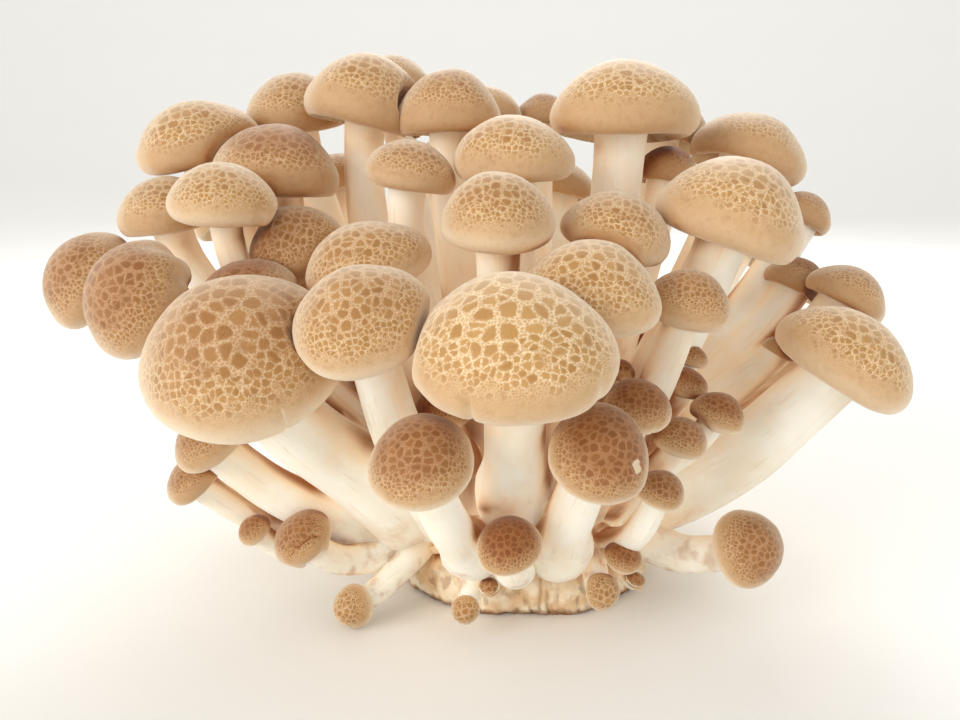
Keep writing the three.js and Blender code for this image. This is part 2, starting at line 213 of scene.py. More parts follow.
@dataclass(frozen=True)
class Sighting:
    """Driving dimensions of one mushroom, in millimetres, the same as in the part's source.

    Args:
        width: the cap's width.
        seen: middle of the cap in the picture, for a mushroom that is seen from the front.
        depth: y of that point.
        at: middle of the cap, for a mushroom on the far side.
        lean: the axis's slope to the right and to the back, where it doesn't follow the fan.
        axis: the axis's whole direction, where it has one of its own.
        stem: the stem's width, where it doesn't follow the cap's.
        root: where the stem leaves the crown.
        rise: the first bend of the stem.
        swell: how much thicker the stem is near its foot.
        flat: the cap's height as a share of its width.
        notch: direction of a bite in the margin, in degrees.
    """

    width: float
    seen: tuple[float, float] | None = None
    depth: float = 0.0
    at: tuple[float, float, float] | None = None
    lean: tuple[float, float] | None = None
    axis: tuple[float, float, float] | None = None
    stem: float | None = None
    root: tuple[float, float, float] | None = None
    rise: tuple[float, float, float] | None = None
    swell: float = 0.0
    flat: float = 0.53
    notch: float | None = None

    @property
    def middle(self) -> Vector:
        """The middle of the cap, sighted through the picture where it is seen there.

        Returns:
            A point in millimetres.
        """
        if self.at is not None:
            return Vector(self.at)
        across = (self.seen[0] - PICTURE_MIDDLE[0]) / FOCAL
        above = (PICTURE_MIDDLE[1] - self.seen[1]) / FOCAL
        ray = Matrix.Rotation(-EYE_PITCH, 3, "X") @ Vector((across, 1, above))
        return EYE + ray * ((self.depth - EYE.y) / ray.y)

    @property
    def direction(self) -> Vector:
        """The direction that the cap faces.

        Returns:
            A direction of unit length.
        """
        if self.axis is not None:
            return Vector(self.axis).normalized()
        if self.lean is not None:
            return Vector((*self.lean, 1)).normalized()
        return (self.middle + Vector((0, 0, FAN_DEPTH))).normalized()

    @property
    def start(self) -> Vector:
        """Where the stem leaves the crown.

        Returns:
            A point in millimetres.
        """
        if self.root is not None:
            return Vector(self.root)
        outward = self.middle.xy
        outward.length = min(ROOT_REACH, ROOT_SHARE * outward.length)
        return outward.to_3d() + Vector((0, 0, ROOT_HEIGHT))

    def grow(self, name: str, index: int) -> Mushroom:
        """Works out the mushroom.

        Args:
            name: its name.
            index: its place in the list, which its waves follow.

        Returns:
            The mushroom.
        """
        height = self.width * self.flat
        seat = self.middle - self.direction * (CAP_MIDDLE * height)
        top = BUD_SINK * height if self.width < BUD_WIDTH else SOCKET * height - SEAM
        span = (seat + self.direction * top - self.start).length
        steep = Vector((self.start.x, self.start.y, ROOT_STEEPNESS)).normalized()
        stem = (STEM_SLIMMEST + STEM_SHARE * self.width) * (FAR_STEM if self.at is not None else 1)
        return Mushroom(
            name=name,
            seat=seat,
            axis=self.direction,
            width=self.width,
            height=height,
            stem=self.stem if self.stem is not None else stem,
            root=self.start,
            rise=Vector(self.rise) if self.rise is not None else self.start + steep * (STEM_BEND * span),
            wave=waves(index),
            notch=math.radians(self.notch) if self.notch is not None else None,
            swell=self.swell,
        )


def waves(index: int) -> tuple[float, float]:
    """Draws the phases of the waves in a cap's margin, as the part's source does.

    Args:
        index: the mushroom's place in the list.

    Returns:
        Two angles in radians.
    """
    first = ((SEED_START + SEED_STEP * index) * DRAW_FACTOR + DRAW_SHIFT) % DRAW_RANGE
    second = (first * DRAW_FACTOR + DRAW_SHIFT) % DRAW_RANGE
    return (2 * math.pi * first / DRAW_RANGE, 2 * math.pi * second / DRAW_RANGE)


# Mushrooms seen from the front.
SEEN = (
    Sighting(22.5, (198, 144), 8, lean=(-0.26, -0.16), flat=0.46),
    Sighting(20, (296, 113), 22, lean=(-0.12, -0.12)),
    Sighting(22.8, (368, 105), 10, lean=(0.2, -0.02), stem=8, root=(-12, 3, 14), flat=0.55),
    Sighting(17, (392, 90), 28, flat=0.56),
    Sighting(18.6, (450, 115), 6, lean=(0.04, 0), flat=0.6),
    Sighting(14.5, (486, 117), 30, flat=0.6),
    Sighting(12, (543, 118), 34, flat=0.6),
    Sighting(25, (622, 114), 2, lean=(0.03, 0.02), root=(8, 1, 14), flat=0.5),
    Sighting(19, (658, 130), 24, stem=9.5),
    Sighting(21.5, (748, 154), 14, stem=10.5, flat=0.49),
    Sighting(11, (802, 216), 12, stem=7.5, flat=0.6),
    Sighting(11.5, (668, 173), 8, stem=7.2, flat=0.6),
    Sighting(16.5, (167, 212), -2, lean=(-0.12, -0.2), flat=0.52),
    Sighting(22, (277, 170), 0, lean=(0.08, -0.14), flat=0.5),
    Sighting(17, (224, 202), -17, lean=(0.1, -0.16), stem=5.5, flat=0.5),
    Sighting(15.3, (410, 172), -8, lean=(0.2, -0.1), flat=0.48),
    Sighting(20.5, (512, 160), -8, flat=0.49, notch=250),
    Sighting(17.5, (497, 221), -24, lean=(-0.02, -0.12), flat=0.58),
    Sighting(18, (617, 232), -18, lean=(0.2, -0.18), flat=0.48),
    Sighting(24.5, (733, 216), -14),
    Sighting(12, (795, 282), 7, stem=8, flat=0.55),
    Sighting(15.2, (846, 295), -1, stem=8.4, flat=0.47),
    Sighting(17.5, (88, 278), -6, axis=(-0.6, -0.5, 0.55)),
    Sighting(19, (138, 294), -22, axis=(-0.5, -0.65, 0.5), notch=35),
    Sighting(16, (295, 248), -12, lean=(-0.4, -0.5), flat=0.58),
    Sighting(19, (367, 264), -21, flat=0.48),
    Sighting(18, (361, 320), -40, lean=(-0.18, -0.55), root=(-14, -17, 13), flat=0.56),
    Sighting(27.8, (243, 356), -34, lean=(-0.1, -0.5), stem=11.8, root=(-18, -15, 13), flat=0.56),
    Sighting(17, (243, 299), -22, flat=0.46),
    Sighting(
        25.5, (514, 347), -44, stem=9.2, root=(-2, -19, 15), rise=(-2, -30, 26), swell=0.25, flat=0.49,
    ),
    Sighting(19.5, (590, 293), -31, root=(6, -14, 14)),
    Sighting(12, (688, 304), -26, root=(12, -12, 14), flat=0.62),
    Sighting(23, (842, 360), -14, stem=11.5, root=(17, -7, 13), rise=(31, -10, 18), flat=0.5),
    Sighting(6.5, (781, 350), -3, stem=5.4),
    Sighting(12.8, (211, 439), -24, stem=7.6, root=(-17, -13, 12), rise=(-31, -18, 13), flat=0.5),
    Sighting(10.5, (194, 478), -20, root=(-19, -7, 12), rise=(-32, -12, 8), flat=0.46),
    Sighting(5.8, (254, 530), -22, root=(-19, -9, 12), rise=(-32, -15, 8)),
    Sighting(10, (302, 537), -26, root=(-17, -12, 12), rise=(-26, -20, 7), flat=0.5),
    Sighting(14.2, (421, 460), -46, root=(-8, -19, 13), rise=(-8, -32, 12), swell=0.4, flat=0.49),
    Sighting(
        14, (601, 452), -42, lean=(0.3, -1), stem=7.4, root=(5, -19, 13), rise=(3, -32, 12), swell=0.4,
    ),
    Sighting(10, (638, 406), -32, root=(9, -16, 13)),
    Sighting(
        9.2, (509, 544), -40, stem=5.6, root=(-2, -20, 12.5), rise=(-2, -29, 10), swell=0.35, flat=0.46,
    ),
    Sighting(
        6.8, (353, 606), -26, axis=(-0.6, -0.8, 0.12), root=(-15, -14, 12), rise=(-21, -22, 8), flat=0.72,
    ),
    Sighting(4.6, (465, 610), -29, axis=(-0.2, -0.9, 0.1), root=(-8, -20, 11.5), rise=(-9, -27, 10)),
    Sighting(12.6, (749, 548), -25, axis=(0.5, -0.75, 0.42), root=(16, -13, 12), rise=(27, -20, 7)),
    Sighting(7.2, (661, 490), -33, root=(10, -17, 12), rise=(16, -27, 12)),
    Sighting(8.2, (681, 438), -28, root=(12, -15, 12)),
    Sighting(8.2, (718, 414), -25, root=(14, -12, 13), flat=0.58),
    Sighting(5.8, (690, 357), -14),
    Sighting(7.2, (685, 384), -18),
    Sighting(5.8, (623, 557), -28, root=(11, -17, 12)),
    Sighting(3.4, (635, 580), -25, root=(14, -15, 12)),
    Sighting(5.8, (603, 592), -29, axis=(0.3, -0.9, 0.15), root=(9, -19, 12), rise=(11, -27, 11)),
    Sighting(3.4, (489, 587), -29, root=(-5, -21, 12)),
    Sighting(9.6, (443, 408), -23),
    Sighting(5, (620, 371), -20),
)

# Mushrooms on the far side.
BEHIND = (
    Sighting(17.5, at=(-59, 25, 64)),
    Sighting(20, at=(-39, 39, 69)),
    Sighting(21.5, at=(-15, 46, 72)),
    Sighting(19.5, at=(10, 48, 68)),
    Sighting(18.5, at=(30, 40, 67)),
    Sighting(16.5, at=(46, 28, 58)),
    Sighting(13, at=(2, 21, 74)),
    Sighting(16.5, at=(-53, 36, 42)),
    Sighting(19.5, at=(-30, 52, 47)),
    Sighting(20.5, at=(-5, 59, 48)),
    Sighting(18, at=(19, 54, 44)),
    Sighting(16, at=(40, 41, 40)),
    Sighting(11, at=(-40, 35, 23)),
    Sighting(12.5, at=(-14, 46, 26)),
    Sighting(9.5, at=(11, 42, 21)),
    Sighting(11, at=(31, 34, 22)),
    Sighting(7.2, at=(-45, 14, 20)),
    Sighting(6.4, at=(-25, 34, 14)),
    Sighting(7.2, at=(38, 14, 18)),
    Sighting(6, at=(22, 33, 12)),
)


def grown_mushrooms() -> list[Mushroom]:
    """Works out every mushroom and names it after its node, or as a bud.

    Returns:
        The mushrooms in the list's order.
    """
    found = []
    counts = {"cap": 0, "bud": 0}
    for index, sighting in enumerate(SEEN + BEHIND):
        kind = "bud" if sighting.width < BUD_WIDTH else "cap"
        counts[kind] += 1
        found.append(sighting.grow(f"{kind}_{counts[kind]:02d}", index))
    return found


def chance(seed: float, turn: float = 0.0) -> float:
    """A repeatable number for a seed.

    Args:
        seed: what the number belongs to.
        turn: which of its numbers.

    Returns:
        A number from 0 to 1.
    """
    value = math.sin(seed * 12.9898 + turn * 78.233 + 4.1) * 43758.5453
    return value - math.floor(value)


def smooth(low: float, high: float, value: float) -> float:
    """A soft step.

    Args:
        low: where the step starts.
        high: where it ends.
        value: where it is read.

    Returns:
        A number from 0 to 1.
    """
    share = min(1.0, max(0.0, (value - low) / (high - low)))
    return share * share * (3 - 2 * share)


def linear(red: int, green: int, blue: int) -> tuple[float, float, float, float]:
    """A display colour as the shader's linear one.

    Args:
        red: red from 0 to 255.
        green: green from 0 to 255.
        blue: blue from 0 to 255.

    Returns:
        Linear red, green, blue and alpha.
    """
    parts = []
    for value in (red, green, blue):
        share = value / 255
        parts.append(share / 12.92 if share <= 0.04045 else ((share + 0.055) / 1.055) ** 2.4)
    return (parts[0], parts[1], parts[2], 1.0)


class Sheet:
    """A node tree with short calls that add and join nodes."""

    def __init__(self, tree: bpy.types.NodeTree) -> None:
        """Takes hold of a tree.

        Args:
            tree: the material's tree or a group's.
        """
        self.tree = tree

    def add(self, kind: str, inputs: dict | None = None, **settings: object) -> bpy.types.Node:
        """Adds a node.

        Args:
            kind: the node's type without its ShaderNode prefix.
            inputs: values or sockets by the input's name or number.
            settings: the node's own settings.

        Returns:
            The node.
        """
        node = self.tree.nodes.new("ShaderNode" + kind)
        for name, value in settings.items():
            setattr(node, name, value)
        for key, value in (inputs or {}).items():
            self.feed(node.inputs[key], value)
        return node

    def feed(self, socket: bpy.types.NodeSocket, value: object) -> None:
        """Joins a socket to another one, or sets its value.

        Args:
            socket: an input of a node.
            value: an output of another node, or a plain value.
        """
        if isinstance(value, bpy.types.NodeSocket):
            self.tree.links.new(value, socket)
        else:
            socket.default_value = value

    def place(self, group_tree: bpy.types.NodeTree, inputs: dict) -> bpy.types.Node:
        """Adds a node group.

        Args:
            group_tree: the group.
            inputs: values or sockets by the input's name.

        Returns:
            The group's node.
        """
        node = self.tree.nodes.new("ShaderNodeGroup")
        node.node_tree = group_tree
        for key, value in inputs.items():
            self.feed(node.inputs[key], value)
        return node

    def dress(self, shader: bpy.types.Node, inputs: dict) -> None:
        """Gives a shader its inputs.

        Args:
            shader: the shader's node.
            inputs: values or sockets by the input's name.
        """
        for key, value in inputs.items():
            self.feed(shader.inputs[key], value)

    def math(self, operation: str, first: object, second: object = 0.0) -> bpy.types.NodeSocket:
        """Adds a Math node and returns its value."""
        return self.add("Math", {0: first, 1: second}, operation=operation).outputs[0]

    def vector(self, operation: str, first: object, second: object) -> bpy.types.NodeSocket:
        """Adds a Vector Math node and returns its vector."""
        return self.add("VectorMath", {0: first, 1: second}, operation=operation).outputs[0]

    def scaled(self, vector: object, scale: object) -> bpy.types.NodeSocket:
        """Returns a vector times a number."""
        return self.add("VectorMath", {0: vector, "Scale": scale}, operation="SCALE").outputs[0]

    def mix(self, share: object, first: object, second: object, blend: str = "MIX") -> bpy.types.NodeSocket:
        """Adds a colour mix.

        Args:
            share: how much of the second colour.
            first: a colour.
            second: another colour.
            blend: how they are blended.

        Returns:
            The mixed colour.
        """
        node = self.add("Mix", {0: share, 6: first, 7: second}, data_type="RGBA", blend_type=blend)
        return node.outputs[2]

    def step(
        self, low: object, high: object, value: object, start: float = 0.0, end: float = 1.0
    ) -> bpy.types.NodeSocket:
        """Adds a soft step.

        Args:
            low: where the step starts.
            high: where it ends.
            value: what is read.
            start: the value before the step.
            end: the value after it.

        Returns:
            The stepped value.
        """
        values = {"Value": value, "From Min": low, "From Max": high, "To Min": start, "To Max": end}
        return self.add("MapRange", values, interpolation_type="SMOOTHSTEP").outputs[0]

    def noise(self, vector: object, scale: float, detail: float = 2.0) -> bpy.types.Node:
        """Adds a noise pattern and returns its node."""
        return self.add("TexNoise", {"Vector": vector, "Scale": scale, "Detail": detail})

    def attribute(self, name: str) -> bpy.types.Node:
        """Adds a reader of a mesh attribute and returns its node."""
        return self.add("Attribute", attribute_name=name)


def group(name: str, inputs: dict[str, str], outputs: dict[str, str]) -> tuple[bpy.types.NodeTree, Sheet]:
    """Starts a shader node group.

    Args:
        name: the group's name.
        inputs: socket types by name.
        outputs: socket types by name.

    Returns:
        The group and a sheet on it, with its Group Input and Group Output nodes made.
    """
    tree = bpy.data.node_groups.new(name, "ShaderNodeTree")
    for way, sockets in (("INPUT", inputs), ("OUTPUT", outputs)):
        for label, kind in sockets.items():
            tree.interface.new_socket(name=label, in_out=way, socket_type="NodeSocket" + kind)
    tree.nodes.new("NodeGroupInput").name = "given"
    tree.nodes.new("NodeGroupOutput").name = "put out"
    return tree, Sheet(tree)


class NetGroup:
    """A net of fine lines round cells, as on a young beech mushroom's cap.

    LOOSENESS is how far the cells stray from an even grid. The corners of a cell are rounded by ROUNDING from
    the distance on whose square is ROUND_FROM, and THINNEST is the line's sharp part.
    """

    LOOSENESS = 0.86
    ROUND_FROM = 0.13
    ROUNDING = 0.8
    THINNEST = 0.1

    def __init__(self) -> None:
        """Builds the group once."""
        self.tree, sheet = group(
            "net of cells",
            {"Vector": "Vector", "Line": "Float"},
            {"Net": "Float", "Cell": "Float", "Depth": "Float", "Middle": "Vector"},
        )
        given = self.tree.nodes["given"].outputs
        out = self.tree.nodes["put out"].inputs
        values = {"Vector": given["Vector"], "Scale": 1.0, "Randomness": self.LOOSENESS}
        edge = sheet.add("TexVoronoi", values, feature="DISTANCE_TO_EDGE", voronoi_dimensions="2D")
        cell = sheet.add("TexVoronoi", values, feature="F1", voronoi_dimensions="2D")
        away = sheet.math("SUBTRACT", sheet.math("POWER", cell.outputs["Distance"], 2.0), self.ROUND_FROM)
        away = sheet.math("MULTIPLY", sheet.math("MAXIMUM", away, 0.0), self.ROUNDING)
        depth = sheet.math("SUBTRACT", edge.outputs["Distance"], away)
        thin = sheet.math("MULTIPLY", given["Line"], self.THINNEST)
        net = sheet.step(thin, given["Line"], depth, 1.0, 0.0)
        pick = sheet.add("SeparateColor", {0: cell.outputs["Color"]})
        self.tree.links.new(net, out["Net"])
        self.tree.links.new(pick.outputs[0], out["Cell"])
        self.tree.links.new(depth, out["Depth"])
        self.tree.links.new(cell.outputs["Position"], out["Middle"])

    def on(self, sheet: Sheet, vector: bpy.types.NodeSocket, line: float) -> bpy.types.Node:
        """Places the group in a material.

        Args:
            sheet: the material's sheet.
            vector: coordinates with one cell to the unit.
            line: the line's width as a share of a cell.

        Returns:
            The group's node.
        """
        return sheet.place(self.tree, {"Vector": vector, "Line": line})


class ShadeGroup:
    """Warms and darkens a colour where the mushrooms stand close, from the mesh's own shade.

    Its constants are the shades from which and up to which the colour is tinted and deepened, as painted
    shade, and its painted glow rises and fades.
    """

    TINTED = (0.36, 0.82)
    DEEPENED = (0.62, 0.9)
    GLOW_RISES = (0.2, 0.7)
    GLOW_FADES = (0.7, 1.0)

    def __init__(self) -> None:
        """Builds the group once."""
        self.tree, sheet = group(
            "shade of the cluster",
            {"Color": "Color", "Tint": "Color", "Deep": "Color"},
            {"Color": "Color", "Glow": "Color"},
        )
        given = self.tree.nodes["given"].outputs
        out = self.tree.nodes["put out"].inputs
        shade = sheet.attribute("shade").outputs["Fac"]
        # Painted shade: tinted where the mushrooms stand close, deepened in the deepest hollows.
        tint = sheet.mix(sheet.step(*self.TINTED, shade), WHITE, given["Tint"])
        deep = sheet.mix(sheet.step(*self.DEEPENED, shade), WHITE, given["Deep"])
        mixed = sheet.mix(1.0, given["Color"], sheet.mix(1.0, tint, deep, "MULTIPLY"), "MULTIPLY")
        # Painted glow: light that the colour gives off in the half shade, fading in the deepest hollows.
        fading = sheet.step(*self.GLOW_FADES, shade, 1.0, 0.25)
        lit = sheet.math("MULTIPLY", sheet.step(*self.GLOW_RISES, shade), fading)
        glow = sheet.mix(lit, BLACK, mixed)
        self.tree.links.new(mixed, out["Color"])
        self.tree.links.new(glow, out["Glow"])

    def on(self, sheet: Sheet, color: bpy.types.NodeSocket, tint: tuple, deep: tuple) -> bpy.types.Node:
        """Places the group in a material.

        Args:
            sheet: the material's sheet.
            color: the colour in the open.
            tint: what the colour is multiplied by in the shade.
            deep: what it is multiplied by once more in the deepest hollows.

        Returns:
            The group's node, which gives the colour with painted shade and a painted glow in the half shade.
        """
        return sheet.place(self.tree, {"Color": color, "Tint": tint, "Deep": deep})


@dataclass(frozen=True)
class Groups:
    """The node groups that the finishes share."""

    net: NetGroup
    shade: ShadeGroup


def new_material(name: str) -> tuple[bpy.types.Material, Sheet, bpy.types.Node]:
    """Starts a material with a Principled shader.

    Args:
        name: the material's name.

    Returns:
        The material, a sheet on its tree and the shader node.
    """
    material = bpy.data.materials.new(name)
    material.use_nodes = True
    shader = material.node_tree.nodes["Principled BSDF"]
    return material, Sheet(material.node_tree), shader


@dataclass(frozen=True)
class CapNets:
    """The nets on a cap.

    Args:
        large: the net round the apex.
        middle: the net farther out.
        small: the fine net that fills the lines of both, and is alone near the margin.
        past_large: 1 where the middle net has taken over from the large one.
        past_middle: 1 where the small net is alone.
        blob: 1 inside a round cell of the large or middle net.
    """

    large: bpy.types.Node
    middle: bpy.types.Node
    small: bpy.types.Node
    past_large: bpy.types.NodeSocket
    past_middle: bpy.types.NodeSocket
    blob: bpy.types.NodeSocket


@dataclass(frozen=True)
class CapSkin:
    """Finish of the caps: brown cells in a pale net, speckled and then beige towards the margin.

    The nets' lines are shares of a cell. The places where one pattern gives way to the next run from 0 at
    the apex to 1 at the margin.
    """

    groups: Groups
    cell_pale: tuple = linear(202, 157, 94)
    cell_deep: tuple = linear(176, 127, 64)
    line: tuple = linear(236, 210, 172)
    # Painted sheen: the pale colour that the skin is whitened to towards the edges of its outline as seen.
    painted_sheen: tuple = linear(248, 232, 206)
    belt: tuple = linear(212, 172, 120)
    speck: tuple = linear(174, 128, 78)
    margin: tuple = linear(223, 191, 149)
    # The darker margin of the caps at the back: partly their own duller colour, partly painted shade.
    dull_and_shaded_margin: tuple = linear(200, 162, 118)
    lip: tuple = linear(248, 234, 208)
    gill: tuple = linear(236, 214, 182)
    flesh: tuple = linear(238, 218, 186)
    brown: tuple = linear(182, 134, 90)
    # Painted shade: the skin is multiplied by tint where the caps stand close, and by deep in the deepest
    # hollows.
    tint: tuple = linear(247, 228, 202)
    deep: tuple = linear(184, 130, 88)
    large_line: float = 0.09
    middle_line: float = 0.1
    small_line: float = 0.22
    middle_scale: float = 1.6
    small_scale: float = 4.2
    middle_from: tuple = (0.53, 0.55)
    small_from: tuple = (0.84, 0.90)
    margin_from: tuple = (0.86, 1.04)
    margin_cover: float = 0.85
    lip_from: tuple = (0.99, 1.03)
    gills_from: tuple = (1.06, 1.12)
    stains: float = 0.3

    def make(self) -> bpy.types.Material:
        """Builds the material.

        Returns:
            The material.
        """
        material, sheet, shader = new_material("cap skin")
        skin_map = sheet.attribute("skin_map").outputs["Vector"]
        far = sheet.attribute("far").outputs["Fac"]
        edge = sheet.attribute("rim").outputs["Fac"]
        rim = sheet.math("ADD", edge, sheet.math("MULTIPLY", far, 0.05))
        to_margin = sheet.step(*self.margin_from, rim, 0.0, self.margin_cover)
        grain = sheet.noise(skin_map, 11.0, 4.0).outputs["Fac"]
        nets = self.nets(sheet, skin_map)

        skin = self.netted(sheet, nets, sheet.noise(skin_map, 0.42).outputs["Fac"])
        # Darker margins on the caps at the back and some near ones: partly their own colour, partly painted
        # shade.
        skin = sheet.mix(to_margin, skin, sheet.mix(far, self.margin, self.dull_and_shaded_margin))
        skin = sheet.mix(sheet.step(0.42, 0.72, grain, 0.0, self.stains), skin, self.speck)
        blotch = sheet.noise(skin_map, 0.9, 3.0).outputs["Fac"]
        skin = sheet.mix(sheet.step(0.46, 0.72, blotch, 0.0, self.stains), skin, self.speck)
        fade = sheet.step(0.55, 1.0, edge, 1.0, 0.3)
        brown = sheet.math("MULTIPLY", sheet.attribute("brown").outputs["Fac"], fade)
        skin = sheet.mix(brown, skin, sheet.mix(1.0, skin, self.brown, "MULTIPLY"))
        skin = self.edged(sheet, skin, edge, far, grain)
        # Painted sheen: whiter towards the edges of the outline as seen, less on brown caps.
        facing = sheet.add("LayerWeight", {"Blend": 0.5}).outputs["Facing"]
        painted_sheen = sheet.step(0.3, 1.0, facing, 0.0, 0.6)
        painted_sheen = sheet.math("MULTIPLY", painted_sheen, sheet.step(0.1, 1.0, brown, 1.0, 0.1))
        skin = sheet.mix(painted_sheen, skin, self.painted_sheen)
        shaded = self.groups.shade.on(sheet, skin, self.tint, self.deep)

        relief = sheet.math("SUBTRACT", nets.small.outputs["Net"], sheet.math("MULTIPLY", nets.blob, 0.8))
        relief = sheet.math("MULTIPLY", relief, sheet.step(0.0, 1.0, to_margin, 1.0, 0.15))
        relief = sheet.math("ADD", relief, sheet.math("MULTIPLY", grain, 0.8))
        bump = sheet.add("Bump", {"Strength": 0.4, "Distance": 0.00012, "Height": relief})
        sheet.dress(shader, {
            "Base Color": shaded.outputs["Color"],
            # Painted glow: a faint emission in the half shade.
            "Emission Color": shaded.outputs["Glow"],
            "Emission Strength": 0.06,
            "Roughness": sheet.step(0.0, 1.0, nets.blob, 0.62, 0.5),
            "Normal": bump.outputs[0],
            "Specular IOR Level": 0.35,
            "Sheen Weight": 0.35,
            "Sheen Roughness": 0.4,
            "Sheen Tint": (1.0, 0.95, 0.88, 1.0),
        })
        return material

    def nets(self, sheet: Sheet, skin_map: bpy.types.NodeSocket) -> CapNets:
        """Lays the three nets.

        Args:
            sheet: the material's sheet.
            skin_map: the cap's skin laid out flat.

        Returns:
            The nets.
        """
        warp = sheet.vector("SUBTRACT", sheet.noise(skin_map, 0.9).outputs["Color"], HALF)
        tremor = sheet.vector("SUBTRACT", sheet.noise(skin_map, 5.0).outputs["Color"], HALF)
        uneven = sheet.vector("ADD", skin_map, sheet.scaled(warp, 0.5))
        uneven = sheet.vector("ADD", uneven, sheet.scaled(tremor, 0.13))
        large = self.groups.net.on(sheet, uneven, self.large_line)
        middle = self.groups.net.on(sheet, sheet.scaled(uneven, self.middle_scale), self.middle_line)
        small = self.groups.net.on(sheet, sheet.scaled(uneven, self.small_scale), self.small_line)
        past_large = sheet.step(*self.middle_from, self.way_out(sheet, large, 1.0))
        past_middle = sheet.step(*self.small_from, self.way_out(sheet, middle, self.middle_scale))
        blob = sheet.mix(past_large, self.blobs(sheet, large), self.blobs(sheet, middle))
        return CapNets(large, middle, small, past_large, past_middle, blob)

    def netted(self, sheet: Sheet, nets: CapNets, patchy: bpy.types.NodeSocket) -> bpy.types.NodeSocket:
        """Colours the cells, the lines round them and the specks.

        Args:
            sheet: the material's sheet.
            nets: the cap's nets.
            patchy: a broad noise, where some cells are paler.

        Returns:
            The colour.
        """
        foam = sheet.mix(nets.small.outputs["Net"], self.belt, self.line)
        depth = sheet.mix(nets.past_large, nets.large.outputs["Depth"], nets.middle.outputs["Depth"])
        tone = sheet.mix(nets.past_large, nets.large.outputs["Cell"], nets.middle.outputs["Cell"])
        cells = sheet.mix(tone, self.cell_deep, self.cell_pale)
        cells = sheet.mix(sheet.step(0.04, 0.26, depth, 0.6, 0.0), cells, self.belt)
        cells = sheet.mix(sheet.math("MULTIPLY", sheet.step(0.4, 0.8, patchy), 0.3), cells, self.belt)
        cells = sheet.mix(nets.blob, foam, cells)
        pits = sheet.math("MULTIPLY", sheet.step(0.08, 0.26, nets.small.outputs["Depth"]), 0.8)
        pits = sheet.math("MULTIPLY", pits, sheet.step(0.1, 0.6, nets.small.outputs["Cell"]))
        ground = sheet.mix(nets.past_middle, cells, sheet.mix(pits, self.belt, self.speck))
        lines = sheet.math("MULTIPLY", nets.small.outputs["Net"], 0.4)
        return sheet.mix(sheet.math("MULTIPLY", nets.past_middle, lines), ground, self.line)

    def edged(
        self,
        sheet: Sheet,
        skin: bpy.types.NodeSocket,
        edge: bpy.types.NodeSocket,
        far: bpy.types.NodeSocket,
        grain: bpy.types.NodeSocket,
    ) -> bpy.types.NodeSocket:
        """Adds the pale lip, torn places and gills.

        Args:
            sheet: the material's sheet.
            skin: the colour so far.
            edge: how far a point is on the way from the apex past the margin.
            far: how much the margin is darkened, partly its own duller colour and partly painted shade.
            grain: a fine noise.

        Returns:
            The colour.
        """
        # The pale lip is dimmed on the darker margins, partly as painted shade.
        near = sheet.math("SUBTRACT", 0.5, sheet.math("MULTIPLY", far, 0.45))
        skin = sheet.mix(sheet.math("MULTIPLY", sheet.step(*self.lip_from, edge), near), skin, self.lip)
        torn = sheet.math("MULTIPLY", sheet.math("SUBTRACT", grain, 0.5), 0.9)
        torn = sheet.math("ADD", sheet.attribute("scar").outputs["Fac"], torn)
        skin = sheet.mix(sheet.step(0.35, 0.6, torn, 0.0, 0.85), skin, self.flesh)
        return sheet.mix(sheet.step(*self.gills_from, edge), skin, self.gill)

    def blobs(self, sheet: Sheet, net: bpy.types.Node) -> bpy.types.NodeSocket:
        """Gives 1 inside a net's round cells. Some of them touch and some stand apart."""
        gap = sheet.math("MULTIPLY", net.outputs["Cell"], 0.1)
        return sheet.step(gap, sheet.math("ADD", gap, 0.07), net.outputs["Depth"])

    def way_out(self, sheet: Sheet, net: bpy.types.Node, scale: float) -> bpy.types.NodeSocket:
        """Tells how far the whole cell that a point lies in is on the way to the margin.

        Args:
            sheet: the material's sheet.
            net: the net that the cell belongs to.
            scale: the net's scale.

        Returns:
            0 at the apex and 1 at the margin, the same all over a cell.
        """
        middle = sheet.scaled(net.outputs["Middle"], 1 / scale)
        away = sheet.vector("SUBTRACT", middle, sheet.attribute("pole").outputs["Vector"])
        length = sheet.add("VectorMath", {0: away}, operation="LENGTH").outputs["Value"]
        share = sheet.math("DIVIDE", length, sheet.attribute("reach").outputs["Fac"])
        own = sheet.math("MULTIPLY", sheet.math("SUBTRACT", net.outputs["Cell"], 0.5), 0.26)
        return sheet.math("ADD", share, own)


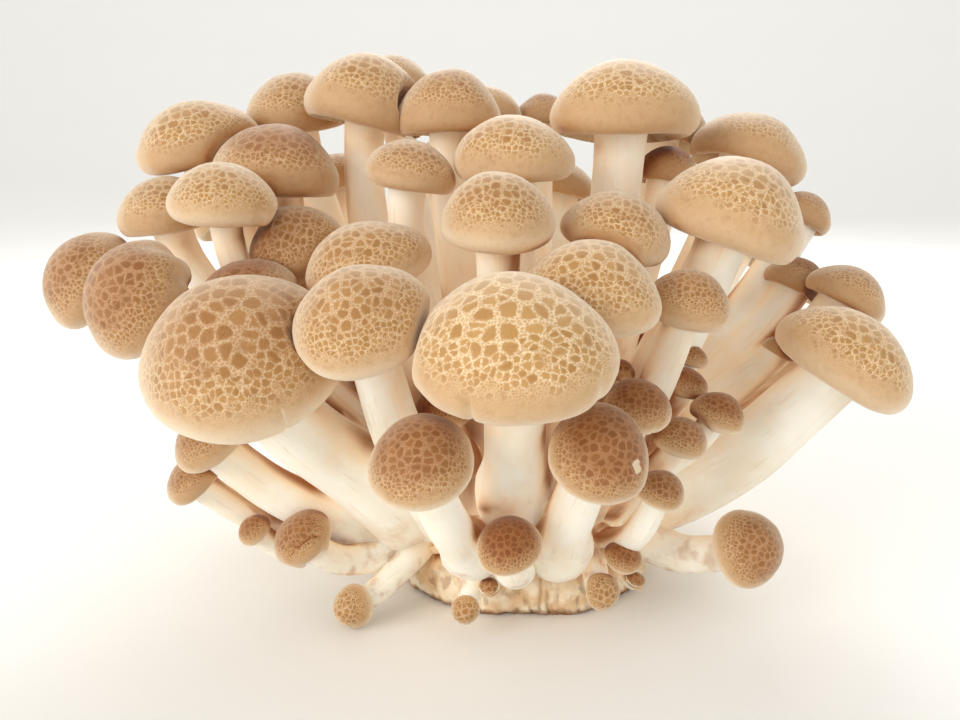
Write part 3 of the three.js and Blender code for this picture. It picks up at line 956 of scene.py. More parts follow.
@dataclass(frozen=True)
class StemFlesh:
    """Finish of the stems: cream flesh with faint fibres, stained near the foot and warmer in the shade."""

    groups: Groups
    cream: tuple = linear(252, 247, 234)
    warm: tuple = linear(245, 231, 208)
    fibre: tuple = linear(226, 204, 172)
    stain: tuple = linear(190, 146, 102)
    # Painted shade: what the flesh is multiplied by where the stems stand close, and more in the deepest
    # hollows.
    tint: tuple = linear(246, 227, 200)
    deep: tuple = linear(172, 116, 74)
    stained_to: tuple = (0.007, 0.02)

    def make(self) -> bpy.types.Material:
        """Builds the material.

        Returns:
            The material.
        """
        material, sheet, shader = new_material("stem flesh")
        place = sheet.add("TexCoord").outputs["Object"]
        straight = sheet.attribute("straight").outputs["Vector"]
        stretched = sheet.vector("MULTIPLY", straight, (1.0, 1.0, 0.09))
        fibres = sheet.noise(stretched, 1500.0, 4.0).outputs["Fac"]
        broad = sheet.noise(stretched, 420.0).outputs["Fac"]
        cloud = sheet.noise(place, 95.0, 3.0).outputs["Fac"]
        mottle = sheet.noise(place, 330.0, 4.0).outputs["Fac"]

        skin = sheet.mix(sheet.step(0.38, 0.72, cloud), self.cream, self.warm)
        skin = sheet.mix(sheet.math("MULTIPLY", sheet.step(0.56, 0.8, fibres), 0.5), skin, self.fibre)
        skin = sheet.mix(sheet.math("MULTIPLY", sheet.step(0.55, 0.75, broad), 0.22), skin, self.warm)
        height = sheet.add("SeparateXYZ", {0: place}).outputs["Z"]
        low = sheet.step(*self.stained_to, height, 1.0, 0.0)
        spots = sheet.math("MULTIPLY", low, sheet.step(0.46, 0.68, mottle))
        skin = sheet.mix(sheet.math("MULTIPLY", spots, 0.6), skin, self.stain)
        shaded = self.groups.shade.on(sheet, skin, self.tint, self.deep)

        relief = sheet.math("ADD", sheet.math("MULTIPLY", fibres, 0.7), sheet.math("MULTIPLY", mottle, 0.5))
        bump = sheet.add("Bump", {"Strength": 0.3, "Distance": 0.0002, "Height": relief})
        sheet.dress(shader, {
            "Base Color": shaded.outputs["Color"],
            # Painted glow: emission in the half shade between the stems.
            "Emission Color": shaded.outputs["Glow"],
            "Emission Strength": 0.18,
            "Roughness": sheet.step(0.2, 0.8, mottle, 0.5, 0.7),
            "Normal": bump.outputs[0],
            "Specular IOR Level": 0.3,
            "Subsurface Weight": 0.24,
            "Subsurface Radius": (1.0, 0.62, 0.4),
            "Subsurface Scale": 0.0025,
        })
        return material


@dataclass(frozen=True)
class FootCrust:
    """Finish of the cut foot: mottled tan and cream with brown hollows."""

    groups: Groups
    pale: tuple = linear(252, 236, 208)
    tan: tuple = linear(230, 194, 150)
    brown: tuple = linear(142, 98, 62)
    # Painted shade: what the crust is multiplied by where the mushrooms stand close, and more in the deepest
    # hollows.
    tint: tuple = linear(247, 228, 206)
    deep: tuple = linear(216, 176, 140)
    dark_edge: tuple = (0.0014, 0.0028)

    def make(self) -> bpy.types.Material:
        """Builds the material.

        Returns:
            The material.
        """
        material, sheet, shader = new_material("foot crust")
        place = sheet.add("TexCoord").outputs["Object"]
        broad = sheet.noise(place, 210.0, 3.0).outputs["Fac"]
        fine = sheet.noise(place, 700.0, 4.0).outputs["Fac"]
        flat = sheet.vector("MULTIPLY", place, (1.0, 1.0, 0.6))
        ribs = sheet.noise(flat, 520.0, 3.0).outputs["Fac"]
        hollow = sheet.attribute("hollow").outputs["Fac"]
        skin = sheet.mix(sheet.step(0.36, 0.62, broad), self.pale, self.tan)
        skin = sheet.mix(sheet.math("MULTIPLY", sheet.step(0.56, 0.68, ribs), 0.4), skin, self.brown)
        skin = sheet.mix(sheet.math("MULTIPLY", sheet.step(0.55, 0.7, fine), 0.45), skin, self.tan)
        skin = sheet.mix(sheet.math("MULTIPLY", hollow, 0.3), skin, self.brown)
        height = sheet.add("SeparateXYZ", {0: place}).outputs["Z"]
        ragged = sheet.math("ADD", height, sheet.math("MULTIPLY", ribs, 0.0022))
        skin = sheet.mix(sheet.step(*self.dark_edge, ragged, 0.9, 0.0), skin, self.brown)
        shaded = self.groups.shade.on(sheet, skin, self.tint, self.deep)

        relief = sheet.math("ADD", fine, sheet.math("MULTIPLY", ribs, 0.8))
        bump = sheet.add("Bump", {"Strength": 0.5, "Distance": 0.0005, "Height": relief})
        sheet.dress(shader, {
            "Base Color": shaded.outputs["Color"],
            "Roughness": 0.85,
            "Normal": bump.outputs[0],
            "Specular IOR Level": 0.25,
        })
        return material


class Skylight:
    """How open each point of the cluster is, told by rays against the CAD solids.

    Rays start a little over the surface and reach as far as REACH, in metres. Those that graze the surface
    are left out, and a solid at the end of the reach counts by DISTANT of one that is near.
    """

    REACH = 0.035
    START = 0.0011
    STEP = 0.00002
    RAYS = 34
    GRAZING = 0.1
    DISTANT = 0.5

    def __init__(self) -> None:
        """Gathers the CAD solids into one search tree."""
        gathered = bmesh.new()
        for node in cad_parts.values():
            gathered.from_mesh(node.data)
        self.tree = BVHTree.FromBMesh(gathered)
        gathered.free()
        self.rays = []
        for index in range(self.RAYS):
            level = 1 - 2 * (index + 0.5) / self.RAYS
            out = math.sqrt(1 - level * level)
            angle = index * GOLDEN_ANGLE
            self.rays.append(Vector((math.cos(angle) * out, math.sin(angle) * out, level)))

    def shade(self, point: Vector, normal: Vector) -> float:
        """Tells how much of the open space over a point is blocked near by.

        Args:
            point: a point of a surface, in metres.
            normal: the direction that the surface faces.

        Returns:
            0 in the open, 1 where everything near is blocked.
        """
        start = point + normal * self.START
        total = 0.0
        blocked = 0.0
        for ray in self.rays:
            facing = ray.dot(normal)
            if facing > self.GRAZING:
                total += facing
                blocked += facing * self.blocked(start, ray)
        return blocked / total

    def blocked(self, start: Vector, ray: Vector) -> float:
        """Tells how near a ray is stopped. Solids that it starts in are passed through.

        Args:
            start: where the ray starts, in metres.
            ray: its direction.

        Returns:
            0 where the ray gets away, 1 where it is stopped at once.
        """
        gone = 0.0
        while gone < self.REACH:
            place, facing, _, length = self.tree.ray_cast(start, ray, self.REACH - gone)
            if place is None:
                return 0.0
            gone += length + self.STEP
            if facing.dot(ray) < 0:
                return max(0.0, 1 - self.DISTANT * gone / self.REACH)
            start = place + ray * self.STEP
        return 0.0


def turned(profile: Sequence[tuple[float, float]], sides: int) -> bmesh.types.BMesh:
    """Turns a profile round +Z.

    Args:
        profile: radius and height pairs from one pole to the other.
        sides: sides of the turned shape.

    Returns:
        The mesh, whose vertices know their row in the profile by the layer "rank".
    """
    mesh = bmesh.new()
    rank = mesh.verts.layers.float.new("rank")
    corners = []
    for index, (out, up) in enumerate(profile):
        corner = mesh.verts.new((out, 0.0, up))
        corner[rank] = float(index)
        corners.append(corner)
    edges = [mesh.edges.new(pair) for pair in zip(corners, corners[1:])]
    bmesh.ops.spin(
        mesh, geom=corners + edges, cent=(0, 0, 0), axis=(0, 0, 1), angle=2 * math.pi, steps=sides,
        use_merge=True, use_duplicate=False,
    )
    bmesh.ops.remove_doubles(mesh, verts=mesh.verts, dist=1e-5)
    bmesh.ops.recalc_face_normals(mesh, faces=mesh.faces)
    return mesh


def calm(mesh: bmesh.types.BMesh, layer: bmesh.types.BMLayerItem) -> None:
    """Evens out a value of the vertices, so that no single one stands out.

    Args:
        mesh: the mesh.
        layer: the value's layer.
    """
    means = []
    for vertex in mesh.verts:
        around = [edge.other_vert(vertex)[layer] for edge in vertex.link_edges]
        means.append((vertex[layer] + sum(around)) / (1 + len(around)))
    for vertex, mean in zip(mesh.verts, means):
        vertex[layer] = mean


def make_piece(name: str, mesh: bmesh.types.BMesh, material: bpy.types.Material) -> bpy.types.Object:
    """Makes a smooth object of a mesh that is in metres and in its place.

    Args:
        name: the object's name.
        mesh: its mesh, which is freed.
        material: its finish.

    Returns:
        The object.
    """
    for face in mesh.faces:
        face.smooth = True
    data = bpy.data.meshes.new(name)
    mesh.to_mesh(data)
    mesh.free()
    data.materials.append(material)
    piece = bpy.data.objects.new(name, data)
    bpy.context.scene.collection.objects.link(piece)
    return piece


@dataclass(frozen=True)
class Nick:
    """A small wound in a cap's margin.

    Args:
        angle: direction in the cap's own frame, in radians.
        span: half of its width, in radians.
        depth: how deep it cuts, as a share of the radius.
        start: share of the way to the margin where it starts.
        pale: how pale its flesh is.
    """

    angle: float
    span: float
    depth: float
    start: float
    pale: float

    def bite(self, angle: float, rim: float) -> float:
        """Tells how deep in the wound a point lies.

        Args:
            angle: the point's direction, in radians.
            rim: how far it is on the way to the margin.

        Returns:
            0 outside and 1 where the wound is deepest.
        """
        away = abs(math.remainder(angle - self.angle, 2 * math.pi)) / self.span
        return max(0.0, 1 - away) * smooth(self.start, 1.0, rim)


@dataclass(frozen=True)
class Fold:
    """A crease across a cap, along a chord.

    Args:
        angle: direction of the chord's middle in the cap's own frame, in radians.
        share: how far out the chord lies, as a share of the radius.
        reach: half of the crease's length, as a share of the radius.
        width: the crease's width, as a share of the radius.
        depth: how deep it is, as a share of the height.
    """

    angle: float
    share: float
    reach: float
    width: float
    depth: float

    def groove(self, place: Vector) -> float:
        """Tells how deep in the crease a point lies.

        Args:
            place: the point in the cap's plane, in radii.

        Returns:
            0 outside and 1 at the bottom.
        """
        ahead = Vector((math.cos(self.angle), math.sin(self.angle)))
        out = place.dot(ahead) - self.share
        along = place.cross(ahead)
        return math.exp(-((out / self.width) ** 2)) * smooth(self.reach, 0.6 * self.reach, abs(along))


@dataclass(frozen=True)
class Chip:
    """A ragged place where the skin is torn off.

    Args:
        angle: direction in the cap's own frame, in radians.
        share: how far out it lies, as a share of the radius.
        size: its radius, as a share of the cap's.
        depth: how deep it is, as a share of the height.
    """

    angle: float
    share: float
    size: float
    depth: float

    def torn(self, place: Vector) -> float:
        """Tells how torn the skin is.

        Args:
            place: the point in the cap's plane, in radii.

        Returns:
            0 where it is whole and 1 in the middle.
        """
        away = place - Vector((math.cos(self.angle), math.sin(self.angle))) * self.share
        ragged = 0.5 * noise.noise(Vector((place.x, place.y, 0.0)) * 9)
        return smooth(1.1, 0.5, away.length / self.size + ragged)


# How brown some caps are, from the palest (0) to the brownest (1).
BROWN = {
    "cap_03": 0.25, "cap_05": 0.5, "cap_08": 0.12, "cap_10": 0.35, "cap_12": 0.95, "cap_14": 0.75,
    "cap_18": 0.3, "cap_19": 0.3, "cap_20": 0.15, "cap_21": 0.85, "cap_22": 0.5, "cap_23": 0.65,
    "cap_24": 0.7, "cap_25": 0.6, "cap_28": 0.45, "cap_29": 0.9, "cap_30": 0.0, "cap_31": 0.15,
    "cap_33": 0.12, "cap_37": 0.75, "cap_38": 0.85, "cap_39": 0.9, "cap_40": 0.95, "cap_42": 1.0,
    "bud_03": 0.3, "bud_04": 0.4, "bud_12": 0.35,
}

# Near caps whose margin is as dark as that of the caps at the back: partly their own duller colour, partly
# painted shade.
DULL_AND_SHADED_MARGINS = {
    "cap_20": 0.8, "cap_30": 0.8, "cap_31": 0.5, "cap_32": 0.6, "cap_33": 0.6, "cap_34": 0.6,
    "cap_35": 0.9, "cap_36": 0.8,
}

# Small wounds of single caps: splits in the margins, a fold and a chip.
NICKS: dict[str, tuple[Nick, ...]] = {
    "cap_28": (Nick(5.28, 0.016, 0.05, 0.92, 0.8),),
    "cap_30": (Nick(4.2, 0.06, 0.06, 0.93, 0.0), Nick(5.6, 0.12, 0.03, 0.9, 0.0)),
    "cap_24": (Nick(6.04, 0.12, 0.10, 0.8, 0.0),),
    "cap_15": (Nick(5.65, 0.10, 0.10, 0.75, 0.0),),
    "cap_39": (Nick(5.15, 0.10, 0.06, 0.9, 0.0),),
}
FOLDS: dict[str, tuple[Fold, ...]] = {
    "cap_36": (Fold(5.12, 0.72, 0.75, 0.07, 0.14),),
}
CHIPS: dict[str, tuple[Chip, ...]] = {"cap_38": (Chip(5.61, 0.68, 0.14, 0.05),)}


@dataclass
class CapBuilder:
    """Builds the caps: a dome with a rolled margin, and gills beneath it.

    Args:
        mushrooms: the cluster's mushrooms.
        skylight: tells how open a point is.
        finish: the caps' material.
        wave: how much the margin waves in and out, as a share of the radius.
        sway: how much it waves up and down, as a share of the height.
        notch_depth: depth of a bite in the margin, as a share of the radius.
        notch_span: half of its width, in radians.
        gill_depth: depth of the gills, as a share of the height.
        crease_shade: shade at the bottom of a fold.
        press_softness: how softly a neighbour flattens a cap, as a share of the width.
        ball_height: height of the ball that a whole cap dents its neighbour with, as a share of its own.
        ball_middle: height of that ball's middle, as a share of its own.
        swell: how unevenly a cap swells, as a share of the width.
        fewest_sides: sides of a turned cap before its width counts.
        sides_per_mm: more sides for each millimetre of width.
        smallest_cell: the smallest large cell of the net, in millimetres.
        cell_share: a large cell as a share of the width.
        trees: search trees of the caps by name, made before they press on one another.
    """

    mushrooms: list[Mushroom]
    skylight: Skylight
    finish: bpy.types.Material
    wave: float = 0.035
    sway: float = 0.03
    notch_depth: float = 0.2
    notch_span: float = 0.45
    gill_depth: float = 0.11
    crease_shade: float = 0.86
    press_softness: float = 0.03
    ball_height: float = 0.66
    ball_middle: float = 0.36
    swell: float = 0.016
    fewest_sides: int = 26
    sides_per_mm: float = 3.4
    smallest_cell: float = 0.95
    cell_share: float = 0.084
    trees: dict[str, BVHTree] = field(default_factory=dict)

    def walls(self, mushroom: Mushroom) -> list[tuple[Vector, float]]:
        """Finds the planes where neighbours press on a cap.

        Args:
            mushroom: the cap's mushroom.

        Returns:
            Pairs of a direction and how far along it the cap may reach.
        """
        found = []
        for other in self.mushrooms:
            between = other.middle - mushroom.middle
            span = between.length
            if other is mushroom or span > mushroom.radius + other.radius + SEAM:
                continue
            names = (mushroom.name, other.name)
            if names in WHOLE_AND_DENTED or names[::-1] in WHOLE_AND_DENTED:
                continue
            if self.trees[mushroom.name].overlap(self.trees[other.name]):
                between.normalize()
                near = mushroom.reach(between)
                wall = mushroom.middle.dot(between) + span * near / (near + other.reach(between))
                found.append((between, wall - SEAM / 2))
        return found

    def profile(self, mushroom: Mushroom) -> list[tuple[float, float]]:
        """Gives the cap's profile, from the top to the socket over the stem.

        Args:
            mushroom: the cap's mushroom.

        Returns:
            Pairs of radius and height in millimetres.
        """
        socket = min(0.84 * mushroom.stem / mushroom.width + 0.02, 0.6)
        shares = list(DOME)
        shares += [(out, up) for out, up in UNDER if out > socket + 0.04]
        shares += [(socket, SOCKET), (0.0, SOCKET + 0.01)]
        return [(out * mushroom.radius, up * mushroom.height) for out, up in shares]

    def build(self, mushroom: Mushroom) -> bmesh.types.BMesh:
        """Builds one cap in its place.

        Args:
            mushroom: the cap's mushroom.

        Returns:
            The mesh in millimetres, with the attributes that the finish reads.
        """
        sides = 2 * round((self.fewest_sides + self.sides_per_mm * mushroom.width) / 2)
        mesh = turned(self.profile(mushroom), sides)
        self.mark(mesh, mushroom)
        self.raise_gills(mesh, mushroom, sides)
        self.wound(mesh, mushroom)
        self.bend(mesh, mushroom)
        mesh.transform(mushroom.place())
        self.roughen(mesh, mushroom)
        return mesh

    def mark(self, mesh: bmesh.types.BMesh, mushroom: Mushroom) -> None:
        """Adds the attributes that the finish reads.

        Args:
            mesh: the turned cap in its own frame, in millimetres.
            mushroom: the cap's mushroom.
        """
        names = ("rim", "brown", "far", "scar", "shade", "reach", "crease")
        layers = {name: mesh.verts.layers.float.new(name) for name in names}
        skin_map = mesh.verts.layers.float_vector.new("skin_map")
        pole = mesh.verts.layers.float_vector.new("pole")
        rank = mesh.verts.layers.float["rank"]
        spread = self.spread(mushroom)
        shift = Vector((chance(mushroom.number, 3), chance(mushroom.number, 4), 0.0)) * 200
        brownness = self.brownness(mushroom)
        # The margin darkens towards the back of the cluster, partly as painted shade.
        margin_dull_and_shaded = DULL_AND_SHADED_MARGINS.get(mushroom.name, smooth(-26.0, 2.0, mushroom.seat.y))
        for vertex in mesh.verts:
            angle = math.atan2(vertex.co.y, vertex.co.x)
            across = spread[min(round(vertex[rank]), len(spread) - 1)]
            vertex[skin_map] = Vector((math.cos(angle), math.sin(angle), 0.0)) * across + shift
            vertex[pole] = shift
            vertex[layers["rim"]] = self.rim_share(vertex[rank], vertex.co.xy.length / mushroom.radius)
            vertex[layers["brown"]] = brownness
            vertex[layers["far"]] = margin_dull_and_shaded
            vertex[layers["reach"]] = spread[MARGIN_ROW]

    def raise_gills(self, mesh: bmesh.types.BMesh, mushroom: Mushroom, sides: int) -> None:
        """Pleats the underside into gills.

        Args:
            mesh: the cap in its own frame, in millimetres.
            mushroom: the cap's mushroom.
            sides: sides of the turned shape, of which every second one is raised.
        """
        rank = mesh.verts.layers.float["rank"]
        for vertex in mesh.verts:
            point = vertex.co
            side = round(math.atan2(point.y, point.x) * sides / (2 * math.pi))
            if vertex[rank] > LIP_ROW and point.z < SOCKET * mushroom.height and side % 2:
                share = point.xy.length / mushroom.radius
                pleat = smooth(0.9, 0.8, share) * smooth(0.36, 0.5, share)
                point.z += self.gill_depth * mushroom.height * pleat

    def wound(self, mesh: bmesh.types.BMesh, mushroom: Mushroom) -> None:
        """Sinks the folds and chips that single caps have.

        Args:
            mesh: the cap in its own frame, in millimetres.
            mushroom: the cap's mushroom.
        """
        scar = mesh.verts.layers.float["scar"]
        crease = mesh.verts.layers.float["crease"]
        for vertex in mesh.verts:
            place = vertex.co.xy / mushroom.radius
            for fold in FOLDS.get(mushroom.name, ()):
                groove = fold.groove(place)
                # Painted shade: the bottom of the crease is marked dark.
                vertex[crease] = max(vertex[crease], self.crease_shade * groove)
                vertex.co.z -= fold.depth * mushroom.height * groove
            for chip in CHIPS.get(mushroom.name, ()):
                torn = chip.torn(place)
                vertex[scar] = max(vertex[scar], torn)
                vertex.co.z -= chip.depth * mushroom.height * torn

    def bend(self, mesh: bmesh.types.BMesh, mushroom: Mushroom) -> None:
        """Makes the margin wavy, and cuts its notch and nicks.

        Args:
            mesh: the cap in its own frame, in millimetres.
            mushroom: the cap's mushroom.
        """
        rim = mesh.verts.layers.float["rim"]
        scar = mesh.verts.layers.float["scar"]
        first, second = mushroom.wave
        for vertex in mesh.verts:
            point = vertex.co
            angle = math.atan2(point.y, point.x)
            share = point.xy.length / mushroom.radius
            grow = 1 + self.wave * share * (math.cos(2 * angle + first) + 0.7 * math.cos(3 * angle + second))
            if mushroom.notch is not None:
                away = math.remainder(angle - mushroom.notch, 2 * math.pi)
                grow -= self.notch_depth * share * share * math.exp(-((away / self.notch_span) ** 2))
            for nick in NICKS.get(mushroom.name, ()):
                bite = nick.bite(angle, vertex[rim])
                grow -= nick.depth * bite
                vertex[scar] = max(vertex[scar], min(1.0, 1.6 * bite) * nick.pale)
            lift = math.cos(2 * angle + second) + 0.6 * math.cos(angle + first)
            point.x *= grow
            point.y *= grow
            point.z += self.sway * mushroom.height * lift * smooth(0.45, 1.0, share)

    def settle(self, mesh: bmesh.types.BMesh, mushroom: Mushroom) -> None:
        """Presses a cap against its neighbours, takes it to metres and reads its shade.

        Args:
            mesh: the cap in place, in millimetres.
            mushroom: the cap's mushroom.
        """
        self.press(mesh, mushroom)
        mesh.transform(Matrix.Scale(MM, 4))
        mesh.normal_update()
        shade = mesh.verts.layers.float["shade"]
        crease = mesh.verts.layers.float["crease"]
        for vertex in mesh.verts:
            vertex[shade] = self.skylight.shade(vertex.co, vertex.normal)
        calm(mesh, shade)
        calm(mesh, shade)
        # The fold's crease is painted as shade, over the shade that the rays find.
        for vertex in mesh.verts:
            vertex[shade] = max(vertex[crease], vertex[shade])

    def spread(self, mushroom: Mushroom) -> list[float]:
        """Lays the skin out flat, so that its cells shrink evenly towards the margin.

        Args:
            mushroom: the cap's mushroom.

        Returns:
            The distance of each ring from the apex, with one large cell to the unit.
        """
        cell = max(self.smallest_cell, self.cell_share * mushroom.width)
        places = [Vector((out * mushroom.radius, up * mushroom.height)) for out, up in DOME]
        across = [0.0, places[1].x]
        for inner, outer in zip(places[1:], places[2:]):
            middle = (inner.x + outer.x) / 2
            across.append(across[-1] * math.exp((outer - inner).length / middle))
        return [value / cell for value in across]

    def rim_share(self, row: float, share: float) -> float:
        """Gives how far a vertex is on the way from the apex past the margin to the stem.

        Args:
            row: the vertex's row in the profile.
            share: its distance from the axis, as a share of the radius.

        Returns:
            0 at the apex, 1 at the margin and 2 at the stem.
        """
        if row <= LIP_ROW:
            length = min(1.0, share)
            if row <= MARGIN_ROW:
                return 0.62 * length + 0.38 * row / MARGIN_ROW
            return 1.0 + 0.012 * (row - MARGIN_ROW)
        return 1.1 + 0.9 * (1 - share)

    def brownness(self, mushroom: Mushroom) -> float:
        """Gives how brown a cap is. Small caps are the brownest.

        Args:
            mushroom: the cap's mushroom.

        Returns:
            0 for the palest and 1 for the brownest.
        """
        if mushroom.name in BROWN:
            return BROWN[mushroom.name]
        young = smooth(17.0, 8.0, mushroom.width)
        return min(1.0, 0.28 + 0.55 * young + 0.3 * (chance(mushroom.number) - 0.5))

    def roughen(self, mesh: bmesh.types.BMesh, mushroom: Mushroom) -> None:
        """Gives a cap the uneven swell of a grown thing.

        Args:
            mesh: the cap in place, in millimetres.
            mushroom: the cap's mushroom.
        """
        mesh.normal_update()
        reach = self.swell * mushroom.width
        moves = []
        for vertex in mesh.verts:
            swell = noise.noise(vertex.co * (2.3 / mushroom.width)) * reach
            swell += noise.noise(vertex.co * (6.0 / mushroom.width)) * reach * 0.35
            moves.append(vertex.normal * swell)
        for vertex, move in zip(mesh.verts, moves):
            vertex.co += move

    def press(self, mesh: bmesh.types.BMesh, mushroom: Mushroom) -> None:
        """Flattens a cap softly against its neighbours.

        Args:
            mesh: the cap in place, in millimetres.
            mushroom: the cap's mushroom.
        """
        for whole, dented in WHOLE_AND_DENTED:
            if dented == mushroom.name:
                self.dent(mesh, mushroom, next(m for m in self.mushrooms if m.name == whole))
        soft = self.press_softness * mushroom.width
        for direction, wall in self.walls(mushroom):
            for vertex in mesh.verts:
                over = vertex.co.dot(direction) - wall + soft
                if over > 0:
                    vertex.co += direction * (soft * (1 - math.exp(-over / soft)) - over)

    def dent(self, mesh: bmesh.types.BMesh, mushroom: Mushroom, whole: Mushroom) -> None:
        """Dents a cap where a neighbour that keeps its whole shape presses into it.

        Args:
            mesh: the dented cap in place, in millimetres.
            mushroom: its mushroom.
            whole: the neighbour.
        """
        away = SEAM * 1.6
        size = Vector((whole.radius + away, whole.radius + away, self.ball_height * whole.height + away))
        inward = whole.place().inverted()
        lift = Vector((0, 0, self.ball_middle * whole.height))

        def scaled(point: Vector) -> Vector:
            """Gives a point in a frame where the neighbour is a ball of radius 1."""
            local = inward @ point - lift
            return Vector((local.x / size.x, local.y / size.y, local.z / size.z))

        start = scaled(mushroom.middle)
        for vertex in mesh.verts:
            ray = scaled(vertex.co) - start
            square = ray.dot(ray)
            half = start.dot(ray)
            inside = half * half - square * (start.dot(start) - 1)
            if inside <= 0:
                continue
            reach = (-half - math.sqrt(inside)) / square
            if 0 < reach < 1:
                vertex.co = mushroom.middle + (vertex.co - mushroom.middle) * reach

    def dress(self) -> list[bpy.types.Object]:
        """Builds every cap as its own piece, and the buds' caps as one.

        Returns:
            The pieces.
        """
        pieces = []
        buds = bmesh.new()
        meshes = {mushroom.name: self.build(mushroom) for mushroom in self.mushrooms}
        self.trees = {name: BVHTree.FromBMesh(mesh) for name, mesh in meshes.items()}
        for mushroom in self.mushrooms:
            mesh = meshes[mushroom.name]
            self.settle(mesh, mushroom)
            if mushroom.is_bud:
                join(buds, mesh)
                continue
            piece = make_piece(f"mushroom_{mushroom.name}", mesh, self.finish)
            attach(piece, "root")
            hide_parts(mushroom.name)
            log.info("%s: %d faces", piece.name, len(piece.data.polygons))
            pieces.append(piece)
        piece = make_piece("bud_caps", buds, self.finish)
        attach(piece, "root")
        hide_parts("stems")
        log.info("%s: %d faces", piece.name, len(piece.data.polygons))
        pieces.append(piece)
        return pieces


def join(target: bmesh.types.BMesh, source: bmesh.types.BMesh) -> None:
    """Adds one mesh to another with its attributes, and frees it.

    Args:
        target: the mesh that grows.
        source: the mesh that is added.
    """
    data = bpy.data.meshes.new("carrier")
    source.to_mesh(data)
    source.free()
    target.from_mesh(data)
    bpy.data.meshes.remove(data)


